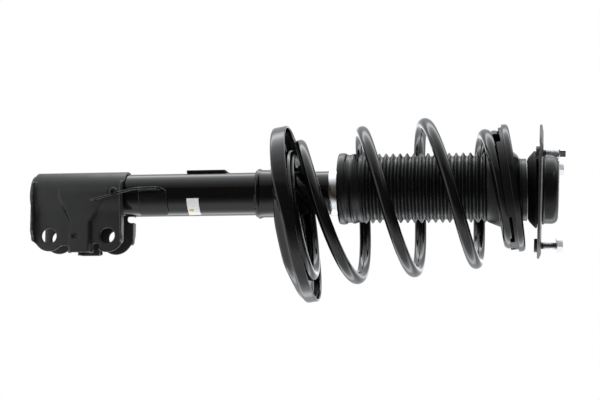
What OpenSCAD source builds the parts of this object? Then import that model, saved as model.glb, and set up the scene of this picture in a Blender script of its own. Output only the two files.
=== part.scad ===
// Front suspension strut assembly: a twin-tube damper with a knuckle bracket, a coil
// spring between two tilted seats, a steering bearing and a rubber top mount.
//
// Frame: millimetres. The strut's axis is Z. The origin is the centre of the stud
// circle on the top mount's outer face, so the whole strut hangs below it.
// The knuckle flanges point to +X. The strut is drawn fully extended.

/* [Overall] */
// Length from the top mount's face down to the tube's lower end, fully extended
extended_len = 594; // [585:1:640]
// Travel from full extension to the bump stop's first contact
stroke = 140; // [100:1:145]
// Running clearance of sliding fits, on the radius
slide_gap = 0.05; // [0.02:0.01:0.1]
// Clearance between pieces that sit in or on each other
seat_gap = 0.1; // [0.05:0.05:0.2]

/* [Strut tube] */
// Outer radius of the strut tube
tube_r = 25; // [23:0.5:28]
// Wall of the strut tube
tube_wall = 2.6; // [2:0.1:3.2]
// Length of the strut tube
tube_len = 365; // [330:1:380]
// Radius of the hole that the rolled-in top of the tube leaves
crimp_r = 18.5; // [16:0.5:19.5]
// Drop of the base cap's dome below the tube's lower end
base_dome = 4.5; // [2:0.5:8]

/* [Damper] */
// Radius of the chromed rod
rod_r = 11; // [10:0.5:11.5]
// Radius of the rod's threaded top end
rod_top_r = 7; // [6:0.5:8]
// Radius of the rod's lower end, which carries the piston
rod_tail_r = 6; // [5:0.5:7]
// Inner radius of the pressure cylinder
bore_r = 16; // [15:0.5:17]
// Wall of the pressure cylinder
bore_wall = 1.5; // [1:0.1:2]
// Height of the rod guide
guide_h = 20; // [15:1:30]
// Height of the oil seal
seal_h = 5; // [4:0.5:8]
// Distance from the rod guide to the piston at full extension
piston_drop = 38; // [30:1:60]
// Height of the piston
piston_h = 22; // [16:1:30]
// Outer radius of the bump stop
bump_stop_r = 25; // [20:1:27]
// Skirt of the plated bump cap
bump_cap_h = 12; // [8:1:20]
// Sheet of the bump cap
bump_cap_t = 1.3; // [1:0.1:2]

/* [Knuckle bracket] */
// Sheet of the knuckle bracket
bracket_t = 3; // [2.5:0.1:3.5]
// Length of the bracket along the tube
bracket_len = 110; // [100:1:125]
// Height of the bracket's lower edge above the tube's end
bracket_rise = 3.5; // [2:0.5:10]
// Gap between the two ears, which takes the knuckle
ear_gap = 36; // [34:1:40]
// Distance of the bolt holes from the strut's axis
bolt_off = 48.5; // [46:0.5:56]
// Distance between the two bolt holes
bolt_pitch = 70; // [62:1:72]
// Height of the lower hole above the bracket's lower edge
bolt_rise = 19.5; // [17:0.5:22]
// Radius of the knuckle bolt holes
bolt_r = 8.6; // [7:0.1:9]
// Radius of the ear around each hole
lobe_r = 19.5; // [17:0.5:21]
// Distance from the strut's axis to the outer edge of the stiffening lips
lip_reach = 34; // [31:0.5:38]
// Width of the raised rib between the two holes
rib_w = 23; // [18:1:26]

/* [Small brackets] */
// Sheet of the hose bracket
hose_t = 2.6; // [2:0.1:3]
// Radius of the hose bracket's clip hole
hose_hole_r = 4.5; // [3.5:0.5:6]
// Reach of the hose arm from the strut's axis
hose_reach = 52; // [46:1:58]
// Sheet of the stabilizer link bracket
link_t = 4; // [3:0.5:5]
// Radius of the link bracket's hole
link_hole_r = 6.1; // [5:0.1:8]
// Distance of the link hole from the strut's axis
link_reach = 42; // [38:1:50]

/* [Spring seats] */
// Height of the lower seat's floor centre below the tube's top
seat_drop = 60; // [40:1:70]
// Offset of the lower seat's centre towards the wheel
lower_off = 26; // [15:1:30]
// Tilt of the lower seat
lower_tilt = 9.4; // [4:0.2:11]
// Outer radius of the lower seat's rim
lower_r = 103; // [98:1:110]
// Sheet of the lower seat
seat_t = 2.6; // [2:0.1:3.2]
// Height of the rim above the lower seat's floor
rim_h = 15; // [10:1:20]
// Offset of the upper seat's centre from the strut's axis
upper_off = -3; // [-6:1:0]
// Tilt of the upper seat
upper_tilt = 7.4; // [4:0.2:9]
// Outer radius of the upper seat
upper_r = 73; // [71:1:78]
// Depth of the upper seat's rim plane below the mount's face, on the strut's axis
upper_drop = 29; // [28.5:0.5:32]

/* [Coil spring] */
// Diameter of the spring wire
wire_d = 14; // [12:0.5:15]
// Mean radius of the free coils
coil_r = 83.2; // [80:0.2:86]
// Mean radius where the lower end coil starts
lower_end_r = 68; // [64:1:76]
// Mean radius of the upper end coil
upper_end_r = 61; // [60:0.5:64]
// Thickness of the rubber pad under the lower end coil
lower_pad_t = 5; // [3:0.5:8]
// Thickness of the rubber above the upper end coil
upper_pad_t = 8.5; // [6:0.5:10]

/* [Dust boot] */
// Outer radius of the bellows
boot_r = 40.2; // [38:0.2:42]
// Depth of each fold
fold_depth = 4.6; // [3:0.2:6]
// Distance between folds
fold_pitch = 8.3; // [7.5:0.1:8.4]
// Number of folds
folds = 17; // [12:1:17]
// Length of the plain bell at the boot's lower end
bell_h = 27; // [20:1:32]
// Wall of the boot
boot_wall = 1.4; // [1:0.1:2]

/* [Top mount] */
// Radius of the mount plate
plate_r = 75.5; // [74:0.5:84]
// Offset of the mount plate's outline towards the knuckle's side
plate_x = 2.5; // [0:0.5:3]
// Sheet of the mount plate
plate_t = 3; // [2.5:0.5:4]
// Drop of the mount plate's edge below its face
plate_drop = 1.8; // [0:0.2:4]
// Tilt of the mount plate against the strut's axis
mount_tilt = 2.4; // [0:0.2:3]
// Lean of the top mount away from the link bracket's side (degrees)
mount_lean = 1.5; // [0:0.1:2]
// Outer radius of the raised housing on the plate
shell_r = 38.6; // [36:0.2:42]
// Height of the raised housing above the plate's face
shell_h = 18; // [15:1:22]
// Radius of the stud circle
stud_circle_r = 64; // [60:1:67]
// Angle of the first stud from +X
stud_clock = -1; // [-30:1:30]
// Radius of the studs
stud_r = 4; // [3:0.5:5]
// Length of each stud above the plate's face
stud_len = 24; // [18:1:30]
// Width of the nuts across their flats
nut_af = 13; // [10:1:14]
// Height of the nuts
nut_h = 8; // [6:0.5:9]
// Radius of the steering bearing
bearing_r = 35.2; // [33:0.2:37]
// Radius of the bearing's balls
ball_r = 2.2; // [1.8:0.1:2.3]
// Number of balls
balls = 26; // [18:1:30]

/* [Hidden] */
$fn = 96;
eps = 0.01;
far = 300; // larger than any piece, for half-space cuts

crimp_bend = 2; // bend of the tube's rolled-in top and of the cap over it
rim_bend = 2.5; // bend into the upper seat's rim and of the rubber under it
shell_bend = 4; // bend of the mount's housing and of the rubber in it

// Heights along the strut
z_base = -extended_len;
z_tube_top = z_base + tube_len;
z_bracket = z_base + bracket_rise;
z_bracket_top = z_bracket + bracket_len;
z_bolt_low = z_bracket + bolt_rise;
z_bolt_up = z_bolt_low + bolt_pitch;
z_seat_floor = z_tube_top - seat_drop;
z_cap_top = z_tube_top + seat_gap + bump_cap_t;
z_guide_top = z_tube_top - tube_wall - seat_gap - seal_h - seat_gap;
z_guide = z_guide_top - guide_h;
z_piston_top = z_guide - piston_drop;
z_bump_stop = z_cap_top + stroke + 0.3;

// Top mount and bearing stack, downwards from the mount's face
z_cup = -17.3;
z_upper_race = z_cup - seat_gap;
race_t = 2.4;
z_ball = z_upper_race - race_t - 0.9;
z_lower_race = z_ball - 1.2 - race_t - 1.2;
z_hub = z_lower_race - seat_gap;
ball_circle_r = bearing_r - 6.4;
hub_hole_r = 20;
upper_ring_in = 42;
core_r = 13;
z_core = z_cup - 4;

// Knuckle bracket
sleeve_in = tube_r + seat_gap;
sleeve_out = sleeve_in + bracket_t;
ear_in = ear_gap / 2;
ear_out = ear_in + bracket_t;
lip_top = -15;
lip_bottom = bolt_off + 5;
tab_reach = bolt_off + 20;
lip_bend = 6; // radius of the bend into each lip, on the side of the slot
z_rib = z_bolt_low + bolt_pitch / 2 + 3;

// Small brackets. The hose arm lies turned about the strut's axis by this angle.
hose_clock = -83;
z_hose = z_bracket_top + 17;
hose_pad_h = 34;
hose_arm_len = 59;
hose_arm_slope = 13.8;
hose_arm_x = 8.6;
z_link = z_bracket_top + 69;
link_w = 46;

groove_depth = 1.5; // of the upper end coil's bed in the rubber

// Spring: the planes of the two end coils and the turns between them, in degrees
lower_plane = lower_pad_t + wire_d / 2 + seat_gap;
upper_plane = seat_t + upper_pad_t + wire_d / 2 + 2 * seat_gap - groove_depth;
coil_from = -200;
coil_to = 1650;
rise_from = 30;
rise_in = 198;
fall_from = 1070;
fall_in = 430;
widen_to = 430;
narrow_from = 1020;
narrow_in = 310;
coil_step = 15;
wire_sides = 12;
coil_low = [lower_off - lower_plane * sin(lower_tilt), 0,
    z_seat_floor + lower_plane * cos(lower_tilt)];
coil_high = [upper_off + upper_plane * sin(upper_tilt), 0,
    -upper_drop - upper_plane * cos(upper_tilt)];
coil_bow = 0.33;
coil_lift = 3.4; // extra rise of the first free coil

// Boot
boot_x = -3.4;
boot_lean = 0.3;
boot_collar_h = 10;
z_boot_bottom = z_tube_top - 2;
z_boot_top = z_boot_bottom + bell_h + folds * fold_pitch + boot_collar_h;
boot_neck_r = boot_r - fold_depth;

// Studs and nuts
pitch_gap = 0.35; // a thread's pitch radius is this much under its outer radius
nut_bore_r = stud_r - pitch_gap;
knurl_r = stud_r + 0.6; // the stud's knurled neck, pressed into the plate
head_r = stud_r + 3.75;
stud_ring = [for (i = [0:2]) stud_clock + 120 * i];
pad_arcs = [[228, 76], [336, 16], [10, 160]]; // start and span of each skirt of the upper insulator

// ---------- geometry helpers ----------

function unit(v) = v / norm(v);
function turned(v) = [-v[1], v[0]];
function mid(a, b, f) = a + (b - a) * f;

// An arc as a list of points
function arc(c, r, from, to, n = 8) =
    [for (i = [0:n]) c + r * [cos(from + (to - from) * i / n), sin(from + (to - from) * i / n)]];

// A line of points whose inner corners are rounded, starting d from each corner
function soft(p, d, n = 4) = [
    for (i = [0:len(p) - 1])
        if (i == 0 || i == len(p) - 1) p[i]
        else let (a = p[i] + unit(p[i - 1] - p[i]) * d, b = p[i] + unit(p[i + 1] - p[i]) * d)
            each [for (k = [0:n]) let (f = k / n) mid(mid(a, p[i], f), mid(p[i], b, f), f)]
];

// A point of a line, moved sideways by t, to the left of its direction
function beside(p, i, t) =
    let (a = i == 0 ? p[1] - p[0] : p[i] - p[i - 1],
         b = i == len(p) - 1 ? a : p[i + 1] - p[i],
         m = unit(turned(unit(a)) + turned(unit(b))))
    p[i] + m * t / (m * turned(unit(a)));

// The outline of a bent sheet of thickness t, left of the line p
function sheet(p, t) = concat(p, [for (i = [len(p) - 1:-1:0]) beside(p, i, t)]);

module ring(r_out, r_in, z0, z1) {
    translate([0, 0, z0])
        difference() {
            cylinder(r = r_out, h = z1 - z0);
            translate([0, 0, -1]) cylinder(r = r_in, h = z1 - z0 + 2);
        }
}

// The tilted frame of the lower seat: its floor's centre is the origin
module at_lower_seat() {
    translate([lower_off, 0, z_seat_floor]) rotate([0, -lower_tilt, 0]) children();
}

// The tilted frame of the upper seat: the centre of its top plane is the origin
module at_upper_seat() {
    translate([upper_off, 0, -upper_drop]) rotate([0, -upper_tilt, 0]) children();
}

module at_mount() {
    rotate([mount_lean, mount_tilt, 0]) children();
}

module hex(af, h) {
    cylinder(r = af / sqrt(3), h = h, $fn = 6);
}

// ---------- damper ----------

module strut_tube() {
    r = tube_r - tube_wall;
    z = z_tube_top - tube_wall;
    line = soft([[tube_r, z_base], [tube_r, z_tube_top], [crimp_r, z_tube_top]], crimp_bend);
    color("#141416") rotate_extrude() polygon(concat(line, [[crimp_r, z], [r, z], [r, z_base]]));
}

module base_cap() {
    r = tube_r - tube_wall - seat_gap;
    line = soft([[0, 0.6 - base_dome], [r * 0.55, 0.6 - base_dome * 0.75], [r - tube_wall, 1],
        [r - tube_wall, 12]], 3);
    color("#141416")
        translate([0, 0, z_base])
            rotate_extrude() polygon(concat(line,
                [[r, 12], [r, -0.5], [r * 0.55, -base_dome * 0.75 - 1.6], [0, -base_dome - 1.2]]));
}

module inner_cylinder() {
    color("silver") ring(bore_r + bore_wall, bore_r, z_base + 22, z_guide + 6);
}

module base_valve() {
    r = bore_r + bore_wall;
    color("#8a8a86")
        difference() {
            union() {
                translate([0, 0, z_base + 12.2]) cylinder(r = r, h = 9.6);
                translate([0, 0, z_base + 21.7]) cylinder(r = bore_r - seat_gap, h = 6);
                ring(r, r - 3, z_base + 1, z_base + 12.3);
            }
            for (a = [30:90:300]) // oil passages through the foot
                rotate([0, 0, a]) translate([0, -4, z_base]) cube([r + 1, 8, 7]);
            for (a = [0:60:300])
                rotate([0, 0, a]) translate([bore_r * 0.55, 0, z_base]) cylinder(r = 1.8, h = 40);
        }
}

module rod_guide() {
    r = tube_r - tube_wall - seat_gap;
    color("#8a8a86")
        difference() {
            union() {
                ring(r, rod_r + slide_gap, z_guide + 7, z_guide_top);
                ring(bore_r - seat_gap, rod_r + slide_gap, z_guide, z_guide + 7 + eps);
            }
            for (a = [0:90:270])
                rotate([0, 0, a]) translate([r - 2, 0, z_guide]) cylinder(r = 1.2, h = guide_h + 1);
        }
}

module oil_seal() {
    z0 = z_guide_top + seat_gap;
    color("#1b1b1b")
        ring(tube_r - tube_wall - seat_gap, rod_r + slide_gap, z0, z0 + seal_h);
}

module bump_cap() {
    r = tube_r + seat_gap;
    line = soft([[r, z_tube_top - bump_cap_h], [r, z_tube_top + seat_gap], [rod_r + 2, z_tube_top + seat_gap]],
        crimp_bend);
    color("#c9ccd0") rotate_extrude() polygon(sheet(line, -bump_cap_t));
}

module piston_rod() {
    z_tail = z_piston_top;
    color("#d5d7da")
        union() {
            translate([0, 0, z_tail]) cylinder(r = rod_r, h = z_core - z_tail);
            translate([0, 0, z_tail - piston_h - 12]) cylinder(r = rod_tail_r, h = piston_h + 12 + eps);
            translate([0, 0, z_core - eps]) cylinder(r = rod_top_r, h = 15 - z_core);
            translate([0, 0, 15 - eps]) cylinder(r1 = rod_top_r, r2 = rod_top_r - 1.2, h = 1.2);
        }
}

module piston() {
    z0 = z_piston_top - seat_gap - piston_h;
    r = bore_r - slide_gap;
    color("#77797c")
        difference() {
            ring(r - 0.6, rod_tail_r + seat_gap, z0, z0 + piston_h);
            for (a = [0:60:300])
                rotate([0, 0, a]) translate([bore_r * 0.66, 0, z0 - 1]) cylinder(r = 1.6, h = piston_h + 2);
            difference() {
                translate([0, 0, z0 + 5]) cylinder(r = r + 1, h = piston_h - 10);
                translate([0, 0, z0 + 4]) cylinder(r = r - 1.8, h = piston_h - 8);
            }
        }
}

module piston_band() {
    z0 = z_piston_top - seat_gap - piston_h;
    r = bore_r - slide_gap;
    color("#4a3a2a") ring(r, r - 1.7, z0 + 5.1, z0 + piston_h - 5.1);
}

module piston_nut() {
    z1 = z_piston_top - piston_h - 2 * seat_gap;
    color("#77797c")
        difference() {
            translate([0, 0, z1 - 8]) hex(18, 8);
            translate([0, 0, z1 - 9]) cylinder(r = rod_tail_r + seat_gap, h = 10);
        }
}

module rebound_stop() {
    color("#2a2a2a") ring(bore_r - 1, rod_r + seat_gap, z_guide - 0.3 - 9, z_guide - 0.3);
}

module bump_stop() {
    top = z_core - seat_gap;
    shoulder = z_hub - 16;
    h = shoulder - z_bump_stop;
    waist = 4;
    wave = [for (i = [0:24]) let (f = i / 24)
        [bump_stop_r - waist * (1 - cos(360 * 2 * f)) / 2 - 3 * (1 - f), z_bump_stop + h * f]];
    color("#b9a15c")
        rotate_extrude() polygon(concat([[rod_r + 0.3, z_bump_stop]], wave,
            [[hub_hole_r - 2, shoulder + 1], [hub_hole_r - 2, top], [rod_r + 0.3, top]]));
}

// ---------- knuckle bracket ----------

// Outline of one ear, drawn with the strut's X across and its Z up
module ear_outline() {
    difference() {
        union() {
            translate([0, z_bracket]) square([bolt_off + 3.5, bracket_len]);
            translate([bolt_off, z_bolt_low]) circle(r = lobe_r - 1.5);
            translate([bolt_off, z_bolt_up]) circle(r = lobe_r);
            polygon([[bolt_off, z_bolt_up], [lip_bottom, z_bracket_top],
                [bolt_off + lobe_r * cos(40), z_bolt_up + lobe_r * sin(40)]]);
            polygon([[bolt_off, z_bolt_low], [lip_bottom, z_bracket],
                [bolt_off + (lobe_r - 1.5) * cos(55), z_bolt_low - (lobe_r - 1.5) * sin(55)]]);
            translate([bolt_off, z_rib - rib_w / 2 - 4]) square([tab_reach - bolt_off, rib_w + 8]);
        }
        for (s = [-1, 1]) // relief notches beside the tab
            translate([bolt_off + 13, z_rib + s * (rib_w / 2 + 7)]) circle(r = 4);
        translate([-1, z_bracket - far]) square([far, far]);
        translate([-1, z_bracket_top]) square([far, far]);
    }
}

// The raised rib of one ear, grown by g on every side
module rib(g) {
    low = sqrt(pow(sleeve_out, 2) - pow(ear_out, 2));
    hull() {
        translate([2, 0, z_rib - 2]) cube([eps, sleeve_out + g, 40 + 2 * g], center = false);
        translate([2, 0, z_rib - 22 - g]) cube([eps, sleeve_out + g, 24]);
        translate([low + 2, 0, z_rib - rib_w / 2 - 4 - g]) cube([eps, ear_out + g, rib_w + 6 + 2 * g]);
        translate([low + 14, 0, z_rib - rib_w / 2 - g]) cube([eps, sleeve_out + g, rib_w + 2 * g]);
    }
    translate([low + 14, 0, z_rib - rib_w / 2 - g])
        cube([tab_reach - low - 14 + (g < 0 ? 1 : 0), sleeve_out + g, rib_w + 2 * g]);
}

// One ear and its two lips: a sheet bent in the plane across the strut, before trimming
module ear_channel(reach) {
    line = [[lip_reach, z_bracket], [ear_in, z_bracket], [ear_in, z_bracket_top],
        [lip_reach, z_bracket_top]];
    turn = lip_bend - 0.6;
    rotate([90, 0, 90]) linear_extrude(reach) polygon(sheet(soft(line, turn, 5), -bracket_t));
}

module knuckle_bracket() {
    mouth = sqrt(pow(sleeve_in, 2) - pow(ear_in, 2));
    color("#161618")
        difference() {
            union() {
                translate([0, 0, z_bracket]) cylinder(r = sleeve_out, h = bracket_len);
                for (s = [0, 1]) mirror([0, s, 0]) {
                    intersection() {
                        translate([mouth, 0, 0]) ear_channel(tab_reach - mouth);
                        translate([0, far / 2, 0]) rotate([90, 0, 0]) linear_extrude(far) ear_outline();
                    }
                    intersection() {
                        rib(0);
                        translate([0, ear_in, z_bracket]) cube([tab_reach, far, bracket_len]);
                    }
                    for (z = [z_bracket, z_bracket_top - bracket_t]) // lips round the sleeve
                        translate([lip_top, 0, z]) cube([mouth + 1 - lip_top, lip_reach, bracket_t]);
                }
            }
            translate([0, 0, z_bracket - 1]) cylinder(r = sleeve_in, h = bracket_len + 2);
            translate([0, -ear_in, z_bracket - 1]) cube([far, ear_gap, bracket_len + 2]);
            for (s = [0, 1]) mirror([0, s, 0])
                intersection() {
                    rib(-bracket_t);
                    translate([mouth, 0, z_bracket]) cube([far, far, bracket_len]);
                }
            for (z = [z_bolt_low, z_bolt_up])
                translate([bolt_off, -far / 2, z]) rotate([-90, 0, 0]) cylinder(r = bolt_r, h = far);
            translate([ear_out + 5, ear_in - 1, z_bracket_top - 3]) rotate([-90, 0, 0])
                cylinder(r = 4, h = 20);
        }
}

// ---------- small brackets ----------

module hose_bracket() {
    pad_r = tube_r + seat_gap;
    z1 = z_hose + hose_pad_h;
    color("#18181a")
        rotate([0, 0, hose_clock])
            difference() {
                union() {
                    // saddle on the tube
                    translate([0, 0, z_hose]) rotate([0, 0, -18])
                        rotate_extrude(angle = 80) translate([pad_r, 0]) square([hose_t, hose_pad_h]);
                    // flange standing out of the saddle's upper edge
                    translate([pad_r - 2, -hose_arm_x - hose_t / 2, z_hose])
                        cube([hose_reach - pad_r - 4, hose_t, hose_pad_h - 8]);
                    // arm that runs down beside the knuckle bracket
                    translate([0, -hose_arm_x, z_hose + 4]) rotate([hose_arm_slope, 0, 0])
                        translate([lip_reach + 2, -hose_t / 2, -hose_arm_len])
                            cube([hose_reach - lip_reach - 2, hose_t, hose_arm_len + 4]);
                    // round locating tab
                    translate([hose_reach - hose_t, -hose_arm_x, z_hose - 21]) rotate([0, 90, 0])
                        cylinder(r = 7, h = hose_t);
                }
                translate([0, 0, z_hose - far / 2]) cylinder(r = pad_r, h = far);
                translate([0, -hose_arm_x, z_hose + 4]) rotate([hose_arm_slope, 0, 0])
                    translate([hose_reach - 8, 0, 12 - hose_arm_len]) rotate([90, 0, 0])
                        translate([0, 0, -20]) cylinder(r = hose_hole_r, h = 40);
            }
}

module link_bracket() {
    pad_r = tube_r + seat_gap;
    color("#18181a")
        difference() {
            union() {
                // saddle round the side of the tube
                translate([0, 0, z_link + 3]) rotate([0, 0, 100])
                    rotate_extrude(angle = 76) translate([pad_r, 0]) square([3, link_w - 6]);
                // flat plate, tangent to the tube
                translate([-pad_r - link_t, 0, z_link]) rotate([90, 0, 90])
                    linear_extrude(link_t) {
                        polygon([[-3, 0], [14, 0], [link_reach, link_w / 2 - 14],
                            [link_reach, link_w / 2 + 14], [14, link_w], [-3, link_w]]);
                        translate([link_reach, link_w / 2]) circle(r = 14);
                    }
            }
            translate([0, 0, z_link - 1]) cylinder(r = pad_r, h = link_w + 2);
            translate([0, link_reach, z_link + link_w / 2]) rotate([0, -90, 0])
                cylinder(r = link_hole_r, h = far);
        }
}

module tube_label() {
    r = tube_r + 0.02;
    color("#e8e8e4")
        translate([0, 0, z_bracket_top + 72.5]) rotate([0, 0, -84])
            rotate_extrude(angle = 70) translate([r, 0]) square([0.15, 19]);
}

// ---------- spring and its seats ----------

module lower_spring_seat() {
    floor_in = 56;
    step_r = lower_r - 20;
    dish = soft([[floor_in, 0], [step_r, 0], [step_r + 4, 5], [lower_r - seat_t - 1, 5.4],
        [lower_r - seat_t, rim_h]], 2.2, 3);
    neck_r = tube_r + seat_gap;
    neck_z = z_seat_floor - 34;
    color("#131315")
        difference() {
            union() {
                at_lower_seat() rotate_extrude() polygon(sheet(dish, -seat_t));
                ring(neck_r + seat_t, neck_r, neck_z, neck_z + 12);
                difference() {
                    hull() {
                        translate([0, 0, neck_z + 10]) cylinder(r = neck_r + seat_t, h = 1, $fn = 32);
                        at_lower_seat() translate([0, 0, -seat_t]) cylinder(r = floor_in + 1, h = seat_t - eps, $fn = 32);
                    }
                    hull() {
                        translate([0, 0, neck_z + 10 - eps]) cylinder(r = neck_r, h = 1, $fn = 32);
                        at_lower_seat() cylinder(r = floor_in - 1, h = 1, $fn = 32);
                    }
                }
            }
            translate([0, 0, neck_z - 1]) cylinder(r = neck_r, h = 80);
        }
}

module lower_insulator() {
    color("#202020")
        at_lower_seat() ring(lower_end_r + 10, lower_end_r - 12, seat_gap, lower_pad_t);
}

// How far a point of the wire has risen, in turned degrees: a slow start and a slow end
function eased(x) = x <= 0 ? 0 : x >= 1 ? x - 0.5 : pow(x, 3) - pow(x, 4) / 2;
function risen(a) = rise_in * eased((a - rise_from) / rise_in)
    - fall_in * eased((a - fall_from) / fall_in);
function share(a) = risen(a) / risen(coil_to);
function smooth(x) = x <= 0 ? 0 : x >= 1 ? 1 : x * x * (3 - 2 * x);
function coil_radius(a) = coil_r
    - (coil_r - lower_end_r) * (1 - smooth((a - coil_from) / (widen_to - coil_from)))
    - (coil_r - upper_end_r) * smooth((a - narrow_from) / narrow_in);
function bump(a, at, width) = exp(-pow((a - at) / width, 2));

// The wire's centre at the angle a, on a ring whose plane turns from the lower seat's
// to the upper seat's. The first free coil stands a little steeper, and the last ones
// lean a little to one side.
function wire_point(a) =
    let (f = share(a), g = f * (1 + coil_bow * (1 - f)), r = coil_radius(a),
         tilt = lower_tilt + (upper_tilt - lower_tilt) * f + 1.8 * bump(a, 360, 110),
         lean = 30 * pow(f, 4) * (1 - f))
    [coil_low[0] + (coil_high[0] - coil_low[0]) * g, 0,
        coil_low[2] + (coil_high[2] - coil_low[2]) * f + coil_lift * bump(a, 350, 260)]
    + r * [cos(a) * cos(tilt), sin(a), cos(a) * sin(tilt) - sin(a) * sin(lean)];

function wire_ring(a, r, n) =
    let (p = wire_point(a), t = unit(wire_point(a + 1) - wire_point(a - 1)),
         out = [cos(a), sin(a), 0], u = unit(out - (out * t) * t), v = cross(t, u))
    [for (k = [0:n - 1]) p + r * (cos(360 * k / n) * u + sin(360 * k / n) * v)];

module coil_spring() {
    n = wire_sides;
    count = floor((coil_to - coil_from) / coil_step);
    points = [for (i = [0:count]) each wire_ring(coil_from + i * coil_step, wire_d / 2, n)];
    walls = [for (i = [0:count - 1], k = [0:n - 1])
        let (a = i * n + k, b = i * n + (k + 1) % n) each [[a, a + n, b + n], [a, b + n, b]]];
    ends = [[for (k = [0:n - 1]) k], [for (k = [n - 1:-1:0]) count * n + k]];
    color("#101012") polyhedron(points = points, faces = concat(walls, ends));
}

// The body of the upper seat's hub, between the bearing and the tilted flange, grown by g
module upper_hub(g) {
    hull() {
        translate([0, 0, z_hub - seat_t - g]) cylinder(r = bearing_r - 1 + g, h = seat_t, $fn = 32);
        at_upper_seat() translate([0, 0, -seat_t - g])
            cylinder(r = upper_ring_in + 1 + g, h = seat_t, $fn = 32);
    }
}

module upper_spring_seat() {
    flange = soft([[upper_ring_in, -seat_t], [upper_r - seat_t, -seat_t], [upper_r - seat_t, -8]],
        rim_bend, 3);
    color("#131315")
        difference() {
            union() {
                at_upper_seat() rotate_extrude() polygon(sheet(flange, seat_t));
                difference() {
                    upper_hub(0);
                    difference() { // the hollow underside, down to the bearing's flat floor
                        hull() {
                            translate([0, 0, z_hub - 2 * seat_t])
                                cylinder(r = bearing_r - 3, h = seat_t, $fn = 32);
                            at_upper_seat() translate([0, 0, -3 * seat_t])
                                cylinder(r = upper_ring_in - 1, h = 2 * seat_t, $fn = 32);
                        }
                        translate([0, 0, z_hub - seat_t]) cylinder(r = bearing_r + seat_t, h = far);
                    }
                }
            }
            translate([0, 0, -far]) cylinder(r = hub_hole_r, h = far);
            translate([0, 0, z_hub]) cylinder(r = bearing_r + seat_gap, h = far);
        }
}

module upper_insulator() {
    top = -seat_t - seat_gap;
    bottom = top - upper_pad_t;
    r_out = upper_r - seat_t - 0.3;
    skirt_in = boot_neck_r + 0.4;
    z_skirt = z_boot_top - boot_collar_h;
    color("#1c1c1d")
        difference() {
            union() {
                at_upper_seat() {
                    rotate_extrude() polygon(concat([[0, bottom]],
                        soft([[r_out, bottom], [r_out, top], [0, top]], rim_bend, 3)));
                    for (arc = pad_arcs) // skirts over the last turn of the spring
                        rotate([0, 0, arc[0]]) rotate_extrude(angle = arc[1])
                            translate([r_out - 1.7, bottom - 5]) square([1.6, 6]);
                }
                intersection() {
                    translate([boot_x, 0, z_skirt]) cylinder(r1 = skirt_in + 3, r2 = 54, h = 26);
                    at_upper_seat() translate([0, 0, -60 - seat_t - seat_gap - 1]) cylinder(r = 90, h = 60);
                }
            }
            at_upper_seat() rotate_extrude() translate([upper_end_r, -upper_plane])
                circle(r = wire_d / 2 + 4 * seat_gap, $fn = 48);
            upper_hub(seat_gap);
            translate([boot_x, 0, z_skirt - 1]) cylinder(r = skirt_in, h = 60);
        }
}

module dust_boot() {
    top = z_boot_top - z_boot_bottom;
    folded = [for (i = [0:folds - 1]) each
        [[boot_neck_r, bell_h + i * fold_pitch], [boot_r, bell_h + (i + 0.5) * fold_pitch]]];
    outer = concat([[boot_r + 1, 0], [boot_r + 1, 2.4], [boot_r - 1, 3.4], [boot_r - 1, 9],
        [boot_r, 10], [boot_r - 1, 11], [boot_r - 1, bell_h - 6]],
        folded, [[boot_neck_r, bell_h + folds * fold_pitch], [boot_neck_r, top]]);
    inner = [for (i = [len(outer) - 1:-1:0]) [outer[i][0] - boot_wall, outer[i][1]]];
    color("#17181a")
        translate([boot_x, 0, z_boot_top]) rotate([0, boot_lean, 0]) translate([0, 0, -top])
            rotate_extrude() polygon(concat(outer, inner));
}

// ---------- steering bearing and top mount ----------

module ball_groove() {
    translate([0, 0, z_ball]) rotate_extrude()
        translate([ball_circle_r, 0]) circle(r = ball_r + seat_gap, $fn = 32);
}

module bearing_lower_race() {
    color("#3a3c3f")
        difference() {
            union() {
                ring(bearing_r, hub_hole_r + 1, z_lower_race, z_lower_race + race_t + 1.2);
                ring(bearing_r, bearing_r - 1.5, z_lower_race, z_cup - 0.4);
            }
            ball_groove();
        }
}

module bearing_balls() {
    color("silver")
        for (i = [0:balls - 1])
            rotate([0, 0, 360 * i / balls]) translate([ball_circle_r, 0, z_ball])
                sphere(r = ball_r, $fn = 24);
}

module bearing_upper_race() {
    color("#55585c")
        difference() {
            ring(bearing_r - 1.9, hub_hole_r + 1, z_upper_race - race_t, z_upper_race);
            ball_groove();
        }
}

module mount_lower_cup() {
    line = soft([[core_r + 1, z_cup], [bearing_r - 1.5, z_cup], [shell_r + 4.5, -8.5]], 3, 4);
    color("#1a1a1a") rotate_extrude() polygon(sheet(line, seat_t));
}

module mount_core() {
    color("#8c8f93")
        ring(core_r, rod_top_r + seat_gap, z_core, 3);
}

module mount_rubber() {
    z0 = z_cup + seat_t + seat_gap;
    r = shell_r - seat_t - 2 * seat_gap;
    top = shell_h - seat_t - seat_gap;
    color("#191919")
        difference() {
            union() {
                at_mount() rotate_extrude() polygon(concat([[0, -8]],
                    soft([[r, -8], [r, top], [0, top]], shell_bend, 5)));
                intersection() {
                    translate([0, 0, z0]) cylinder(r1 = 31, r2 = 43, h = 12);
                    at_mount() translate([0, 0, -plate_t - seat_gap - 40]) cylinder(r = 60, h = 40);
                }
            }
            translate([0, 0, -far / 2]) cylinder(r = core_r + seat_gap, h = far);
            translate([0, 0, 3]) cylinder(r = 20, h = far);
        }
}

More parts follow.
